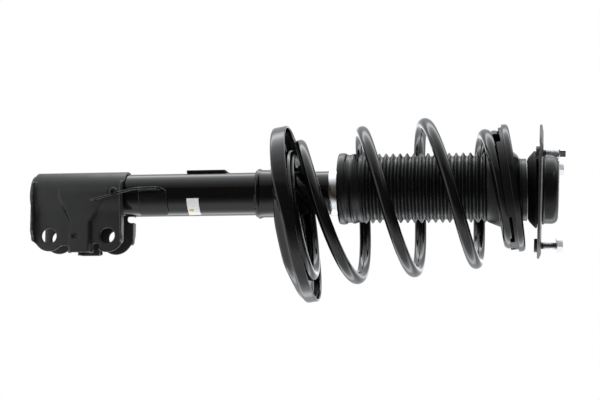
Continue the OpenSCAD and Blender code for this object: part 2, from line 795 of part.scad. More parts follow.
module mount_plate() {
    hole_r = shell_r - seat_t - seat_gap;
    inner_r = hole_r - plate_x - 1;
    line = soft([[inner_r, -plate_t], [plate_r - 10, -plate_t], [plate_r, -plate_t - plate_drop]], 3, 3);
    color("#151517")
        at_mount()
            difference() {
                union() {
                    translate([plate_x, 0, 0]) rotate_extrude() polygon(sheet(line, plate_t));
                    for (a = stud_ring) // flat pads under the studs
                        rotate([0, 0, a]) translate([stud_circle_r, 0, -plate_t])
                            cylinder(r = head_r + 1.8, h = plate_t);
                }
                translate([0, 0, -20]) cylinder(r = hole_r, h = 40);
                for (a = stud_ring) rotate([0, 0, a]) translate([stud_circle_r, 0, -20]) {
                    cylinder(r = knurl_r + seat_gap, h = 40);
                    cylinder(r = head_r + 4 * seat_gap, h = 20 - plate_t + seat_gap); // spot face for the head
                }
            }
}

module mount_shell() {
    r = shell_r - seat_t;
    line = soft([[r, seat_gap], [r, shell_h - seat_t], [22, shell_h - seat_t]], shell_bend, 5);
    color("#151517")
        at_mount() rotate_extrude() polygon(sheet(line, -seat_t));
}

module mount_studs() {
    head_h = 5;
    under = -plate_t - seat_gap;
    thread_r = nut_bore_r - slide_gap;
    neck = 0.1; // height of the undercut above the plate's face
    color("#1a1a1c")
        at_mount()
            for (a = stud_ring)
                rotate([0, 0, a]) translate([stud_circle_r, 0, 0]) {
                    translate([0, 0, under - head_h]) cylinder(r = head_r, h = head_h);
                    translate([0, 0, under - eps]) cylinder(r = knurl_r, h = -0.15 - under + eps);
                    translate([0, 0, neck]) cylinder(r = stud_r, h = stud_len - nut_h - 0.2 - neck);
                    translate([0, 0, -0.15 - eps]) cylinder(r = thread_r, h = stud_len - 0.85);
                    translate([0, 0, stud_len - 1 - 2 * eps])
                        cylinder(r1 = thread_r, r2 = thread_r - 0.5, h = 0.8);
                }
}

module stud_nuts() {
    color("#c8ccd0")
        at_mount()
            for (a = stud_ring)
                rotate([0, 0, a]) translate([stud_circle_r, 0, stud_len - nut_h])
                    difference() {
                        union() {
                            intersection() {
                                hex(nut_af, nut_h);
                                cylinder(r1 = nut_af, r2 = nut_af / sqrt(3) - 0.6, h = nut_h);
                            }
                            cylinder(r1 = nut_af / 2 + 2.4, r2 = nut_af / 2 + 1.4, h = 1.8);
                        }
                        translate([0, 0, -1]) cylinder(r = nut_bore_r, h = nut_h + 2);
                    }
}

module rod_nut() {
    color("#8c8f93")
        difference() {
            union() {
                translate([0, 0, 3 + seat_gap]) cylinder(r = 16, h = 2);
                translate([0, 0, 5]) hex(22, 10);
            }
            translate([0, 0, 0]) cylinder(r = rod_top_r + seat_gap, h = 30);
        }
}

strut_tube();
base_cap();
knuckle_bracket();
hose_bracket();
link_bracket();
lower_spring_seat();
lower_insulator();
coil_spring();
bump_cap();
inner_cylinder();
base_valve();
rod_guide();
oil_seal();
tube_label();
upper_spring_seat();
upper_insulator();
dust_boot();
bearing_lower_race();
bearing_balls();
bearing_upper_race();
mount_lower_cup();
mount_rubber();
mount_core();
mount_plate();
mount_shell();
mount_studs();
stud_nuts();
piston_rod();
piston();
piston_band();
piston_nut();
rebound_stop();
bump_stop();
rod_nut();
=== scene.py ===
# Strut assembly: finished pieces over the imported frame, studio light and camera.
# Lengths are millimetres until a mesh or an object is made, and metres after that.
from math import atan2, cos, degrees, exp, hypot, pi, radians, sin, tan

import bmesh
import bpy
import numpy as np
from mathutils import Matrix, Vector, kdtree


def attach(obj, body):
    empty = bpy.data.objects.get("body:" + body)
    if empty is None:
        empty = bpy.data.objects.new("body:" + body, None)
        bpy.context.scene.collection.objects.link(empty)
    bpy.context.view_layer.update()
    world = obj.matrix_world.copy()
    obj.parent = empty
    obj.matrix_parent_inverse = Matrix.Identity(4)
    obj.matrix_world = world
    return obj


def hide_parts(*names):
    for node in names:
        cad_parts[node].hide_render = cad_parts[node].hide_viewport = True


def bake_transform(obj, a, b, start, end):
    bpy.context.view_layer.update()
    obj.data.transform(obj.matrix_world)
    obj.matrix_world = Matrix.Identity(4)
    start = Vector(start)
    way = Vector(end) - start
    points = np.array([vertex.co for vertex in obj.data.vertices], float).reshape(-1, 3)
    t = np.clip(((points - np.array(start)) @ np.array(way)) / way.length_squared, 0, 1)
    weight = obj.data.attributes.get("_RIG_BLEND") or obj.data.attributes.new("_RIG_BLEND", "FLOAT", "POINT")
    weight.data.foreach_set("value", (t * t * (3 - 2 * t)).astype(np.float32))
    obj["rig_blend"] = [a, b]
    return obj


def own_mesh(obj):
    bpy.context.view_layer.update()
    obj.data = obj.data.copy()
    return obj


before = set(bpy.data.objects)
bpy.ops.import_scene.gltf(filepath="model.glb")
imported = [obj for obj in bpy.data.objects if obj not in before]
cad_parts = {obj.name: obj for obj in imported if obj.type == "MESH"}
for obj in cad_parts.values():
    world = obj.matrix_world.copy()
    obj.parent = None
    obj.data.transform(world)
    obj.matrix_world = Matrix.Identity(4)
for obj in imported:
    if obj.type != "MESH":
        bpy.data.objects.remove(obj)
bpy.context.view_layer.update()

MM = 0.001
scene = bpy.context.scene

# ---------- sizes shared with the CAD source ----------

TUBE_R, TUBE_WALL = 25.0, 2.6
PAD_R = TUBE_R + 0.1  # inner radius of what sits on the tube
Z_BASE, Z_TUBE_TOP = -594.0, -229.0
CRIMP_R = 18.5
Z_BRACKET, Z_BRACKET_TOP = -590.5, -480.5
BRACKET_T = 3.0
SLEEVE_OUT, EAR_OUT = 28.1, 21.0
BOLT_X, Z_BOLT_LOW, Z_BOLT_UP, BOLT_R = 48.5, -571.0, -501.0, 8.6
LIP_REACH, LIP_BACK, LIP_FRONT = 34.0, -15.0, 53.5
TAB_REACH, Z_RIB, RIB_W = 68.5, -533.0, 23.0
HOSE_CLOCK, HOSE_SLOPE, HOSE_X, HOSE_T = -83.0, 13.8, 8.6, 2.6
Z_HOSE, HOSE_REACH, ARM_LEN, HOSE_HOLE_R = -463.5, 52.0, 59.0, 4.5
Z_LINK, LINK_CLOCK, LINK_REACH, LINK_T, LINK_HOLE_R = -388.5, 138.0, 42.0, 4.0, 6.1
LABEL_R, Z_LABEL, LABEL_CLOCK = (25.17, 25.02), (-406.5, -392.5), (-74, -14)
INK_Z, INK_CLOCK = (-405, -399.5), (-42, -34)
LOWER_OFF, LOWER_TILT, Z_SEAT = 26.0, 9.4, -289.0
UPPER_OFF, UPPER_TILT, UPPER_DROP = -3.0, 7.4, 29.0
SEAT_T = 2.6
WIRE_R = 7.0
BOOT_X, BOOT_LEAN, Z_BOOT_TOP, BOOT_LEN = -3.4, 0.3, -52.9, 178.1
MOUNT_TILT, MOUNT_LEAN = 2.4, 1.5
Z_HUB = -25.6
STUDS, STUD_CIRCLE, STUD_CLOCK = 3, 64.0, -1.0
PLATE_X, PLATE_T = 2.5, 3.0

# ---------- frames and outlines ----------


def tilted(angle, origin):
    """A frame, as its turn and its origin: turned about Y by angle degrees."""
    a = radians(angle)
    turn = np.array([[cos(a), 0, sin(a)], [0, 1, 0], [-sin(a), 0, cos(a)]])
    return turn, np.array(origin, float)


def placed(points, where):
    """Points of a frame, in the strut's own frame."""
    turn, origin = where
    return np.asarray(points, float) @ turn.T + origin


STRUT = tilted(0, (0, 0, 0))
LOWER = tilted(-LOWER_TILT, (LOWER_OFF, 0, Z_SEAT))
UPPER = tilted(-UPPER_TILT, (UPPER_OFF, 0, -UPPER_DROP))
_lean = radians(MOUNT_LEAN)
MOUNT = (tilted(MOUNT_TILT, (0, 0, 0))[0]
         @ np.array([[1, 0, 0], [0, cos(_lean), -sin(_lean)], [0, sin(_lean), cos(_lean)]]), np.zeros(3))
_boot_turn = tilted(BOOT_LEAN, (0, 0, 0))[0]
BOOT = (_boot_turn, np.array([BOOT_X, 0, Z_BOOT_TOP]) + _boot_turn @ np.array([0, 0, -BOOT_LEN]))


def soft(points, reach, steps=6, closed=False, least=8):
    """The line with its corners of over least degrees rounded, from reach before each one to reach after it."""
    p = [np.array(q, float) for q in points]
    n = len(p)
    out = []
    for i in range(n):
        before, after = p[i - 1] - p[i], p[(i + 1) % n] - p[i]
        lb, la = np.linalg.norm(before), np.linalg.norm(after)
        turn = degrees(np.arccos(np.clip(-before @ after / (lb * la), -1, 1)))
        if turn < least or not closed and i in (0, n - 1):
            out.append(p[i])
            continue
        d = min(reach, 0.48 * lb, 0.48 * la)
        a, b = p[i] + before / lb * d, p[i] + after / la * d
        for f in np.arange(steps + 1) / steps:
            out.append((a * (1 - f) + p[i] * f) * (1 - f) + (p[i] * (1 - f) + b * f) * f)
    return np.array(out)


def spaced(line, step):
    """The line with extra points, so that no two are further apart than step."""
    out = [line[0]]
    for a, b in zip(line[:-1], line[1:]):
        parts = max(1, int(np.ceil(np.linalg.norm(b - a) / step)))
        out += [a + (b - a) * k / parts for k in range(1, parts + 1)]
    return np.array(out)


def turns(count):
    """Angles all the way round, as cosines and sines."""
    a = np.arange(count) * 2 * pi / count
    return np.cos(a), np.sin(a)


def ring(r, z, where, count, x=0.0):
    """Points once round a frame's axis, or round a line at x beside it. The radius and the height are each one
    number, or one for each point."""
    c, s = turns(count)
    return placed(np.stack([x + r * c, r * s, z + 0 * c], 1), where)


def round_grid(line, where, count):
    """A line of (radius, height) points turned about a frame's axis: rows x count x 3."""
    return np.array([ring(r, z, where, count) for r, z in line])


def turned_skin(outline, where, count, ease=0):
    """A solid turned from a closed outline of (radius, height) points, its sharp corners rounded by ease."""
    line = soft(outline, ease, 3, closed=True, least=20) if ease else outline
    return closed_skin(round_grid(line, where, count))


def bent_between(a, b, lead_a, lead_b, steps):
    """Rows of points on a curve from ring a to ring b. It leaves along lead_a and arrives along lead_b, whose
    lengths are shares of the gap between the rings."""
    gap = np.linalg.norm(b - a, axis=1, keepdims=True)
    lead_a, lead_b = lead_a * gap, lead_b * gap
    rows = []
    for f in np.arange(1, steps) / steps:
        rows.append((1 - f) ** 3 * a + 3 * (1 - f) ** 2 * f * (a + lead_a)
                    + 3 * (1 - f) * f * f * (b - lead_b) + f ** 3 * b)
    return rows


# ---------- meshes ----------


def closed_skin(rings):
    """Vertices and faces of a skin over rings, closed both ways round."""
    rings = np.asarray(rings, float)
    m, n = rings.shape[:2]
    i, k = np.meshgrid(np.arange(m), np.arange(n), indexing="ij")
    j, l = (i + 1) % m, (k + 1) % n
    faces = np.stack([i * n + k, i * n + l, j * n + l, j * n + k], 2).reshape(-1, 4)
    return rings.reshape(-1, 3), faces


def sheet_skin(middle, thick, edge_steps=3):
    """A sheet of that thickness about a middle surface, with round edges at its first and last row."""
    middle = np.asarray(middle, float)
    n = np.cross(np.gradient(middle, axis=0), np.roll(middle, -1, 1) - np.roll(middle, 1, 1))
    n /= np.maximum(np.linalg.norm(n, axis=2, keepdims=True), 1e-9)
    h = thick / 2
    rows = []
    for side, order, last, inner in ((1, 1, -1, -2), (-1, -1, 0, 1)):
        rows += list((middle + side * n * h)[::order])
        out = middle[last] - middle[inner]
        out = out / np.linalg.norm(out, axis=1, keepdims=True)
        for a in pi * np.arange(1, edge_steps + 1) / (edge_steps + 1):
            rows.append(middle[last] + h * (side * cos(a) * n[last] + sin(a) * out))
    return closed_skin(rows)


def joined(*skins):
    """Several (vertices, faces) as one."""
    starts = np.cumsum([0] + [len(points) for points, _ in skins])
    return (np.vstack([points for points, _ in skins]),
            np.vstack([faces + start for (_, faces), start in zip(skins, starts)]))


def make_mesh(name, skin, angle=38, mend=True):
    """A mesh in metres of (vertices, faces), its doubles merged and its faces turned outwards. It is smooth but
    for edges of more than that angle."""
    points, faces = skin
    mesh = bpy.data.meshes.new(name)
    mesh.from_pydata((points * MM).tolist(), [], np.asarray(faces).tolist())
    if mend:
        b = bmesh.new()
        b.from_mesh(mesh)
        bmesh.ops.remove_doubles(b, verts=b.verts, dist=1e-6)
        bmesh.ops.delete(b, geom=[e for e in b.edges if not e.link_faces], context="EDGES")
        bmesh.ops.recalc_face_normals(b, faces=b.faces)
        b.to_mesh(mesh)
        b.free()
    mesh.validate()
    mesh.shade_smooth()
    mesh.set_sharp_from_angle(angle=radians(angle))
    return mesh


def add_object(name, data):
    """Puts an object in the scene."""
    made = bpy.data.objects.new(name, data)
    scene.collection.objects.link(made)
    return made


def add_piece(name, skin, material, body, slot, *nodes, **made):
    """Puts a skin or a finished mesh in the scene, riding on its body in place of its CAD nodes."""
    mesh = skin if isinstance(skin, bpy.types.Mesh) else make_mesh(name, skin, **made)
    piece = add_object(name, mesh)
    mesh.materials.clear()
    mesh.materials.append(material)
    if body:
        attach(piece, body)
    if nodes:
        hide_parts(*nodes)
    return piece


# ---------- solids drawn as distance fields ----------


def blend_least(a, b, k):
    """The nearer of two distances, with a fillet of about k where they meet."""
    h = np.maximum(k - np.abs(a - b), 0) / k
    return np.minimum(a, b) - h * h * k / 4


def blend_most(a, b, k):
    """The further of two distances, with a corner rounded by about k where they meet."""
    return -blend_least(-a, -b, k)


def ramp(v, low, high):
    """A smooth step from 0 at low to 1 at high."""
    t = np.clip((v - low) / (high - low), 0, 1)
    return t * t * (3 - 2 * t)


def round_box(u, v, half_u, half_v, r):
    """Distance to a rectangle with round corners, negative inside."""
    a, b = np.abs(u) - half_u + r, np.abs(v) - half_v + r
    return np.minimum(np.maximum(a, b), 0) + np.hypot(np.maximum(a, 0), np.maximum(b, 0)) - r


def field_mesh(field, low, high, step):
    """Vertices and quads on a distance field's zero surface, drawn back onto it where they lie off it."""
    axes = [np.arange(low[i], high[i] + step, step) for i in range(3)]
    f = field(*np.meshgrid(*axes, indexing="ij"))
    inside = f < 0
    n = np.array(f.shape) - 1
    corners = np.zeros(n, int)
    for d in np.ndindex(2, 2, 2):
        corners += inside[d[0]:d[0] + n[0], d[1]:d[1] + n[1], d[2]:d[2] + n[2]]
    active = (corners > 0) & (corners < 8)
    base = np.argwhere(active)
    index = np.full(active.shape, -1)
    index[active] = np.arange(len(base))
    total, hits = np.zeros((len(base), 3)), np.zeros(len(base))
    for axis in range(3):
        for d in np.ndindex(2, 2):
            a, b = (base + np.insert(np.array(d), axis, end) for end in (0, 1))
            fa, fb = f[tuple(a.T)], f[tuple(b.T)]
            cut = (fa < 0) != (fb < 0)
            t = fa[cut] / (fa[cut] - fb[cut])
            total[cut] += a[cut] + t[:, None] * (b - a)[cut]
            hits[cut] += 1
    points = np.array(low) + step * total / hits[:, None]
    quads = []
    for axis in range(3):
        u, v = (axis + 1) % 3, (axis + 2) % 3
        a = np.moveaxis(inside, axis, 0)
        cells = np.argwhere(np.moveaxis(a[:-1] != a[1:], 0, axis))
        cells = cells[(cells[:, u] > 0) & (cells[:, v] > 0) & (cells[:, u] < n[u]) & (cells[:, v] < n[v])]
        out = inside[tuple(cells.T)]
        eu, ev = np.eye(3, dtype=int)[u], np.eye(3, dtype=int)[v]
        q = np.stack([index[tuple((cells - o).T)] for o in (eu + ev, ev, 0 * eu, eu)], 1)
        q[~out] = q[~out][:, ::-1]
        quads.append(q)
    h = 0.04
    for _ in range(3):
        value = field(*points.T)
        slope = np.stack([(field(*(points + h * e).T) - field(*(points - h * e).T)) / (2 * h)
                          for e in np.eye(3)], 1)
        move = -value[:, None] * slope / np.maximum((slope ** 2).sum(1), 0.05)[:, None]
        size = np.linalg.norm(move, axis=1, keepdims=True)
        points = points + move * np.minimum(1, 0.35 * step / np.maximum(size, 1e-9))
    return points, np.vstack(quads)


# ---------- materials ----------


def linear(code):
    """The linear colour of an sRGB hex code."""
    parts = [int(code[k:k + 2], 16) / 255 for k in (1, 3, 5)]
    return np.array([v / 12.92 if v <= 0.04045 else ((v + 0.055) / 1.055) ** 2.4 for v in parts])


def empty_tree(owner):
    """The node tree of a material or a world, with nothing in it."""
    owner.use_nodes = True
    owner.node_tree.nodes.clear()
    return owner.node_tree


def add_node(tree, kind, sockets=None, **settings):
    """Adds a node with its settings. A socket, by name or number, takes a value, another node's output, or
    another node for its first output."""
    made = tree.nodes.new(kind)
    for key, value in settings.items():
        setattr(made, key, value)
    for key, value in (sockets or {}).items():
        if isinstance(value, bpy.types.Node):
            value = value.outputs[0]
        if isinstance(value, bpy.types.NodeSocket):
            tree.links.new(value, made.inputs[key])
        else:
            made.inputs[key].default_value = value
    return made


def finish(name, colour, rough, grain, mottle=(0.2, 20), metal=0.0, rough_spread=0.06, ior=1.5,
           wear_and_highlight=None, bright_edge_from=0.56, specks=0.0, bands=None):
    """A surface with colour variation, uneven gloss and a fine relief and, where it is asked for, lighter
    edges, light specks or turned grooves. The lighter edges are partly worn paint and partly a painted
    highlight along the edges. grain and mottle are a strength and a size, bands is the grooves' spacing,
    colours are sRGB hex codes, and sizes are millimetres."""
    made = bpy.data.materials.new(name)
    tree = empty_tree(made)
    place = add_node(tree, "ShaderNodeTexCoord").outputs["Object"]
    base = linear(colour)

    patches = add_node(tree, "ShaderNodeTexNoise", {"Vector": place, "Scale": 1000 / mottle[1], "Detail": 3.0})
    share = add_node(tree, "ShaderNodeMapRange", {"Value": patches, "From Min": 0.3, "From Max": 0.7})
    tint, coats = (*base * (1 - mottle[0]), 1), [(share, base * (1 + mottle[0]))]
    clouds = add_node(tree, "ShaderNodeTexNoise", {"Vector": place, "Scale": 1700 / mottle[1], "Detail": 4.0})
    gloss = add_node(tree, "ShaderNodeMapRange", {
        "Value": clouds, "From Min": 0.25, "From Max": 0.75,
        "To Min": max(0.03, rough - rough_spread), "To Max": rough + rough_spread})
    height = add_node(tree, "ShaderNodeTexNoise", {"Vector": place, "Scale": 1000 / grain[1], "Detail": 2.0})
    if specks:
        # dust nibs of about a millimetre, drawn coarser than real ones so that they show
        dots = add_node(tree, "ShaderNodeTexNoise", {"Vector": place, "Scale": 900.0, "Detail": 1.0})
        spots = add_node(tree, "ShaderNodeMapRange", {
            "Value": dots, "From Min": 0.76, "From Max": 0.80, "To Max": specks})
        coats.append((spots, np.minimum(1, base * 4 + 0.05)))
    if bands:
        # the tool marks of turning, one groove to each feed of the lathe, drawn coarser than real ones
        feed = add_node(tree, "ShaderNodeTexWave", {
            "Vector": place, "Scale": 1000 / bands, "Distortion": 0.6, "Detail": 1.0}, bands_direction="Z")
        height = add_node(tree, "ShaderNodeMath", {0: height, 1: feed.outputs["Fac"]}, operation="ADD")
    if wear_and_highlight:
        # paint rubbed thin on the sharp edges, in ragged patches about 4 mm long, drawn lighter there; where
        # the edge colour is pale it is also a painted highlight along the edges
        edge = add_node(tree, "ShaderNodeNewGeometry").outputs["Pointiness"]
        ragged = add_node(tree, "ShaderNodeTexNoise", {"Vector": place, "Scale": 250.0, "Detail": 4.0})
        rub_and_glint = add_node(tree, "ShaderNodeMath", {0: ragged, 1: 0.06, 2: edge}, operation="MULTIPLY_ADD")
        worn_and_lit_edge = add_node(tree, "ShaderNodeMapRange", {
            "Value": rub_and_glint, "From Min": bright_edge_from + 0.03, "From Max": bright_edge_from + 0.09, "To Max": 0.6})
        coats.append((worn_and_lit_edge, linear(wear_and_highlight)))
    for share, over in coats:
        tint = add_node(tree, "ShaderNodeMix", {0: share, 6: tint, 7: (*over, 1)}, data_type="RGBA").outputs[2]
    relief = add_node(tree, "ShaderNodeBump", {
        "Height": height, "Strength": grain[0], "Distance": grain[1] * 0.35 * MM})
    shader = add_node(tree, "ShaderNodeBsdfPrincipled", {
        "Base Color": tint, "Roughness": gloss, "Metallic": metal, "IOR": ior, "Normal": relief})
    add_node(tree, "ShaderNodeOutputMaterial", {"Surface": shader})
    return made


# Baked enamel dipped over the damper: deep black with a clear mirror in it and a faint orange peel.
gloss_paint = finish("baked_black_enamel", "#0b0b0c", 0.085, grain=(0.05, 2.2), mottle=(0.15, 20),
                     rough_spread=0.02, specks=0.25)
# The same enamel over pressed sheet, where the drawn surface below shows as slight waves. Its pale grey edges
# are a painted highlight along the rims.
seat_paint = finish("enamel_on_pressed_seat", "#0b0b0c", 0.10, grain=(0.07, 3.0), rough_spread=0.025,
                    wear_and_highlight="#8a8a8a")
# Electro-coat on the knuckle bracket: a grey-black satin that scatters the light widely. Its pale edges are
# partly worn paint and partly a painted highlight along the sheared edges.
satin_paint = finish("electrocoat_on_bracket", "#262727", 0.42, grain=(0.12, 1.2), mottle=(0.12, 30),
                     rough_spread=0.05, wear_and_highlight="#a6a6a6", bright_edge_from=0.54, specks=0.12)
# Thinner electro-coat on the two small brackets, glossier, and lighter at their sheared edges: partly worn
# paint and partly a painted highlight along them.
strap_paint = finish("electrocoat_on_straps", "#111111", 0.24, grain=(0.1, 1.6), rough_spread=0.05,
                     wear_and_highlight="#6a6a6a", bright_edge_from=0.53)
# Satin coat on the deep-drawn housing of the top mount.
mount_paint = finish("satin_coat_on_housing", "#101011", 0.31, grain=(0.1, 0.9), mottle=(0.12, 15),
                     rough_spread=0.05, ior=1.38, wear_and_highlight="#4b4b4c", bright_edge_from=0.58)
# The same coat on the flat plate, greyer where it was handled.
plate_paint = finish("satin_coat_on_plate", "#262627", 0.34, grain=(0.1, 1.2), mottle=(0.15, 15),
                     wear_and_highlight="#616163")
# Powder coat on the spring: flows out to a wet-looking gloss over the round wire.
spring_coat = finish("powder_coat_on_spring", "#0d0d0e", 0.06, grain=(0.05, 1.6), rough_spread=0.02, specks=0.3)
# Bright passivated zinc: a bluish white metal with a soft mirror.
zinc = finish("bright_zinc_plate", "#f2f4f7", 0.22, grain=(0.05, 0.7), mottle=(0.05, 6), metal=1.0)
# Phosphated and oiled studs: dull grey metal.
stud_steel = finish("phosphated_stud", "#b4b4b6", 0.30, grain=(0.1, 0.6), mottle=(0.25, 4), metal=1.0)
# Turned steel of the inner parts, with the tool's feed marks.
bare_steel = finish("turned_steel", "#adafb2", 0.28, grain=(0.1, 0.8), mottle=(0.08, 10), metal=1.0, bands=1.2)
# Hard chromium, ground and polished: a clear mirror.
chrome = finish("polished_chromium", "#e3e4e6", 0.07, grain=(0.02, 2), mottle=(0.03, 20), metal=1.0,
                rough_spread=0.02)
# Glass-filled nylon of the bearing's housing, moulded with a fine even grain.
race_plastic = finish("glass_filled_nylon", "#191919", 0.3, grain=(0.12, 0.7), mottle=(0.1, 10), ior=1.42)
# Natural rubber, moulded and then dusty: matte, with light specks.
rubber = finish("natural_rubber", "#0c0d0d", 0.55, grain=(0.25, 0.9), mottle=(0.25, 10), ior=1.4, specks=0.2)
# Harder rubber of the spring's pads, with a little bloom on it.
pad_rubber = finish("spring_pad_rubber", "#0f0e10", 0.36, grain=(0.2, 1.2), mottle=(0.25, 12), ior=1.4,
                    specks=0.2)
# Thermoplastic rubber of the bellows, blow-moulded: smooth, satin and nearly black.
boot_rubber = finish("blow_moulded_rubber", "#111213", 0.30, grain=(0.1, 1.1), mottle=(0.3, 12), specks=0.15)
# Microcellular polyurethane of the bump stop: dry and yellowish, with open pores.
foam = finish("polyurethane_foam", "#ada069", 0.8, grain=(0.6, 0.8), mottle=(0.15, 4))
# Bronze-filled PTFE of the piston's sliding band: waxy brown.
band = finish("bronze_filled_ptfe", "#695039", 0.5, grain=(0.2, 0.8), mottle=(0.15, 20))
# Coated paper of the label, and the plain block of ink on it: a bright, faintly glossy white and yellow.
paper = finish("coated_paper", "#fafbfb", 0.45, grain=(0.08, 0.5), mottle=(0.02, 4))
yellow_ink = finish("yellow_ink", "#e2b650", 0.45, grain=(0.08, 0.5), mottle=(0.05, 20))

# ---------- Geometry Nodes trees ----------


def tree_with(name, inputs):
    """A Geometry Nodes tree with named inputs, and the outputs of its first node."""
    tree = bpy.data.node_groups.new(name, "GeometryNodeTree")
    tree.interface.new_socket("Geometry", in_out="INPUT", socket_type="NodeSocketGeometry")
    for label, kind in inputs:
        tree.interface.new_socket(label, in_out="INPUT", socket_type="NodeSocket" + kind)
    tree.interface.new_socket("Geometry", in_out="OUTPUT", socket_type="NodeSocketGeometry")
    return tree, add_node(tree, "NodeGroupInput").outputs


def painted_output(tree, geometry, material):
    """Ends a tree: its copies made real, and its finish put on."""
    real = add_node(tree, "GeometryNodeRealizeInstances", {"Geometry": geometry})
    paint = add_node(tree, "GeometryNodeSetMaterial", {"Geometry": real, "Material": material})
    add_node(tree, "NodeGroupOutput", {"Geometry": paint})
    return tree


def grown(source, tree, values):
    """Runs a tree on an object and gives the result as a plain mesh; the object and its modifier go."""
    modifier = source.modifiers.new("grow", "NODES")
    modifier.node_group = tree
    for item in tree.interface.items_tree:
        if item.in_out == "INPUT" and item.name in values:
            modifier[item.identifier] = values[item.name]
    bpy.context.view_layer.update()
    graph = bpy.context.evaluated_depsgraph_get()
    mesh = bpy.data.meshes.new_from_object(source.evaluated_get(graph))
    source.modifiers.remove(modifier)
    bpy.data.objects.remove(source)
    return mesh


def path_object(name, points):
    """A bare line of points and edges, in metres, for a tree to follow."""
    mesh = bpy.data.meshes.new(name)
    mesh.from_pydata((np.asarray(points) * MM).tolist(), [(i, i + 1) for i in range(len(points) - 1)], [])
    return add_object(name, mesh)


def wire_tree():
    """Sweeps a round wire along a line."""
    tree, given = tree_with("Wound wire", [("Wire Radius", "Float"), ("Sides", "Int"), ("Finish", "Material")])
    line = add_node(tree, "GeometryNodeMeshToCurve", {"Mesh": given["Geometry"]})
    circle = add_node(tree, "GeometryNodeCurvePrimitiveCircle", {
        "Resolution": given["Sides"], "Radius": given["Wire Radius"]})
    sweep = add_node(tree, "GeometryNodeCurveToMesh", {
        "Curve": line, "Profile Curve": circle, "Fill Caps": True})
    smooth = add_node(tree, "GeometryNodeSetShadeSmooth", {"Geometry": sweep})
    return painted_output(tree, smooth, given["Finish"])


def ring_tree():
    """Sets copies of one item round a circle, each turned to face out, with a further turn that falls from copy
    to copy."""
    tree, given = tree_with("Round pattern", [
        ("Item", "Object"), ("Count", "Int"), ("Circle Radius", "Float"), ("First Angle", "Float"),
        ("First Turn", "Float"), ("Turn Step", "Float"), ("Finish", "Material")])
    circle = add_node(tree, "GeometryNodeMeshCircle", {
        "Vertices": given["Count"], "Radius": given["Circle Radius"]})
    item = add_node(tree, "GeometryNodeObjectInfo", {"Object": given["Item"]})
    index = add_node(tree, "GeometryNodeInputIndex")
    part = add_node(tree, "ShaderNodeMath", {0: index, 1: given["Count"]}, operation="DIVIDE")
    fall = add_node(tree, "ShaderNodeMath", {0: index, 1: given["Turn Step"]}, operation="MULTIPLY")
    extra = add_node(tree, "ShaderNodeMath", {0: given["First Turn"], 1: fall}, operation="SUBTRACT")
    total = add_node(tree, "ShaderNodeMath", {0: part, 1: 2 * pi, 2: extra}, operation="MULTIPLY_ADD")
    turned = add_node(tree, "ShaderNodeCombineXYZ", {"Z": total})
    copies = add_node(tree, "GeometryNodeInstanceOnPoints", {
        "Points": circle, "Instance": item.outputs["Geometry"], "Rotation": turned})
    clocked = add_node(tree, "ShaderNodeCombineXYZ", {"Z": given["First Angle"]})
    clock = add_node(tree, "GeometryNodeTransform", {"Geometry": copies, "Rotation": clocked})
    return painted_output(tree, clock, given["Finish"])


def bead_tree():
    """Lays overlapping round drops of weld along a line."""
    tree, given = tree_with("Weld bead", [
        ("Drop Radius", "Float"), ("Spacing", "Float"), ("Unevenness", "Float"), ("Seed", "Int"),
        ("Finish", "Material")])
    line = add_node(tree, "GeometryNodeMeshToCurve", {"Mesh": given["Geometry"]})
    spread = add_node(tree, "GeometryNodeResampleCurve", {
        "Curve": line, "Length": given["Spacing"]}, mode="LENGTH")
    drop = add_node(tree, "GeometryNodeMeshIcoSphere", {"Radius": given["Drop Radius"], "Subdivisions": 2})
    least = add_node(tree, "ShaderNodeMath", {0: 1.0, 1: given["Unevenness"]}, operation="SUBTRACT")
    size = add_node(tree, "FunctionNodeRandomValue", {2: least, 3: 1.0, "Seed": given["Seed"]})
    drops = add_node(tree, "GeometryNodeInstanceOnPoints", {
        "Points": spread, "Instance": drop, "Scale": size.outputs[1]})
    smooth = add_node(tree, "GeometryNodeSetShadeSmooth", {"Geometry": drops})
    return painted_output(tree, smooth, given["Finish"])


WOUND_WIRE, ROUND_PATTERN, WELD_BEAD = wire_tree(), ring_tree(), bead_tree()


def round_pattern(name, skin, surface, first, angle, first_turn=0.0, turn_step=0.0):
    """The mesh of one item set at each place of the mount's stud circle. Angles and turns are degrees."""
    item = add_object(name + "_one", make_mesh(name + "_one", skin, angle))
    mesh = grown(path_object(name, [(0, 0, 0)]), ROUND_PATTERN, {
        "Item": item, "Count": STUDS, "Circle Radius": STUD_CIRCLE * MM, "First Angle": radians(first),
        "First Turn": radians(first_turn), "Turn Step": radians(turn_step), "Finish": surface})
    bpy.data.objects.remove(item)
    turn, origin = MOUNT
    mesh.transform(Matrix.Translation(Vector(origin * MM)) @ Matrix(turn.tolist()).to_4x4())
    return mesh


# ---------- damper ----------


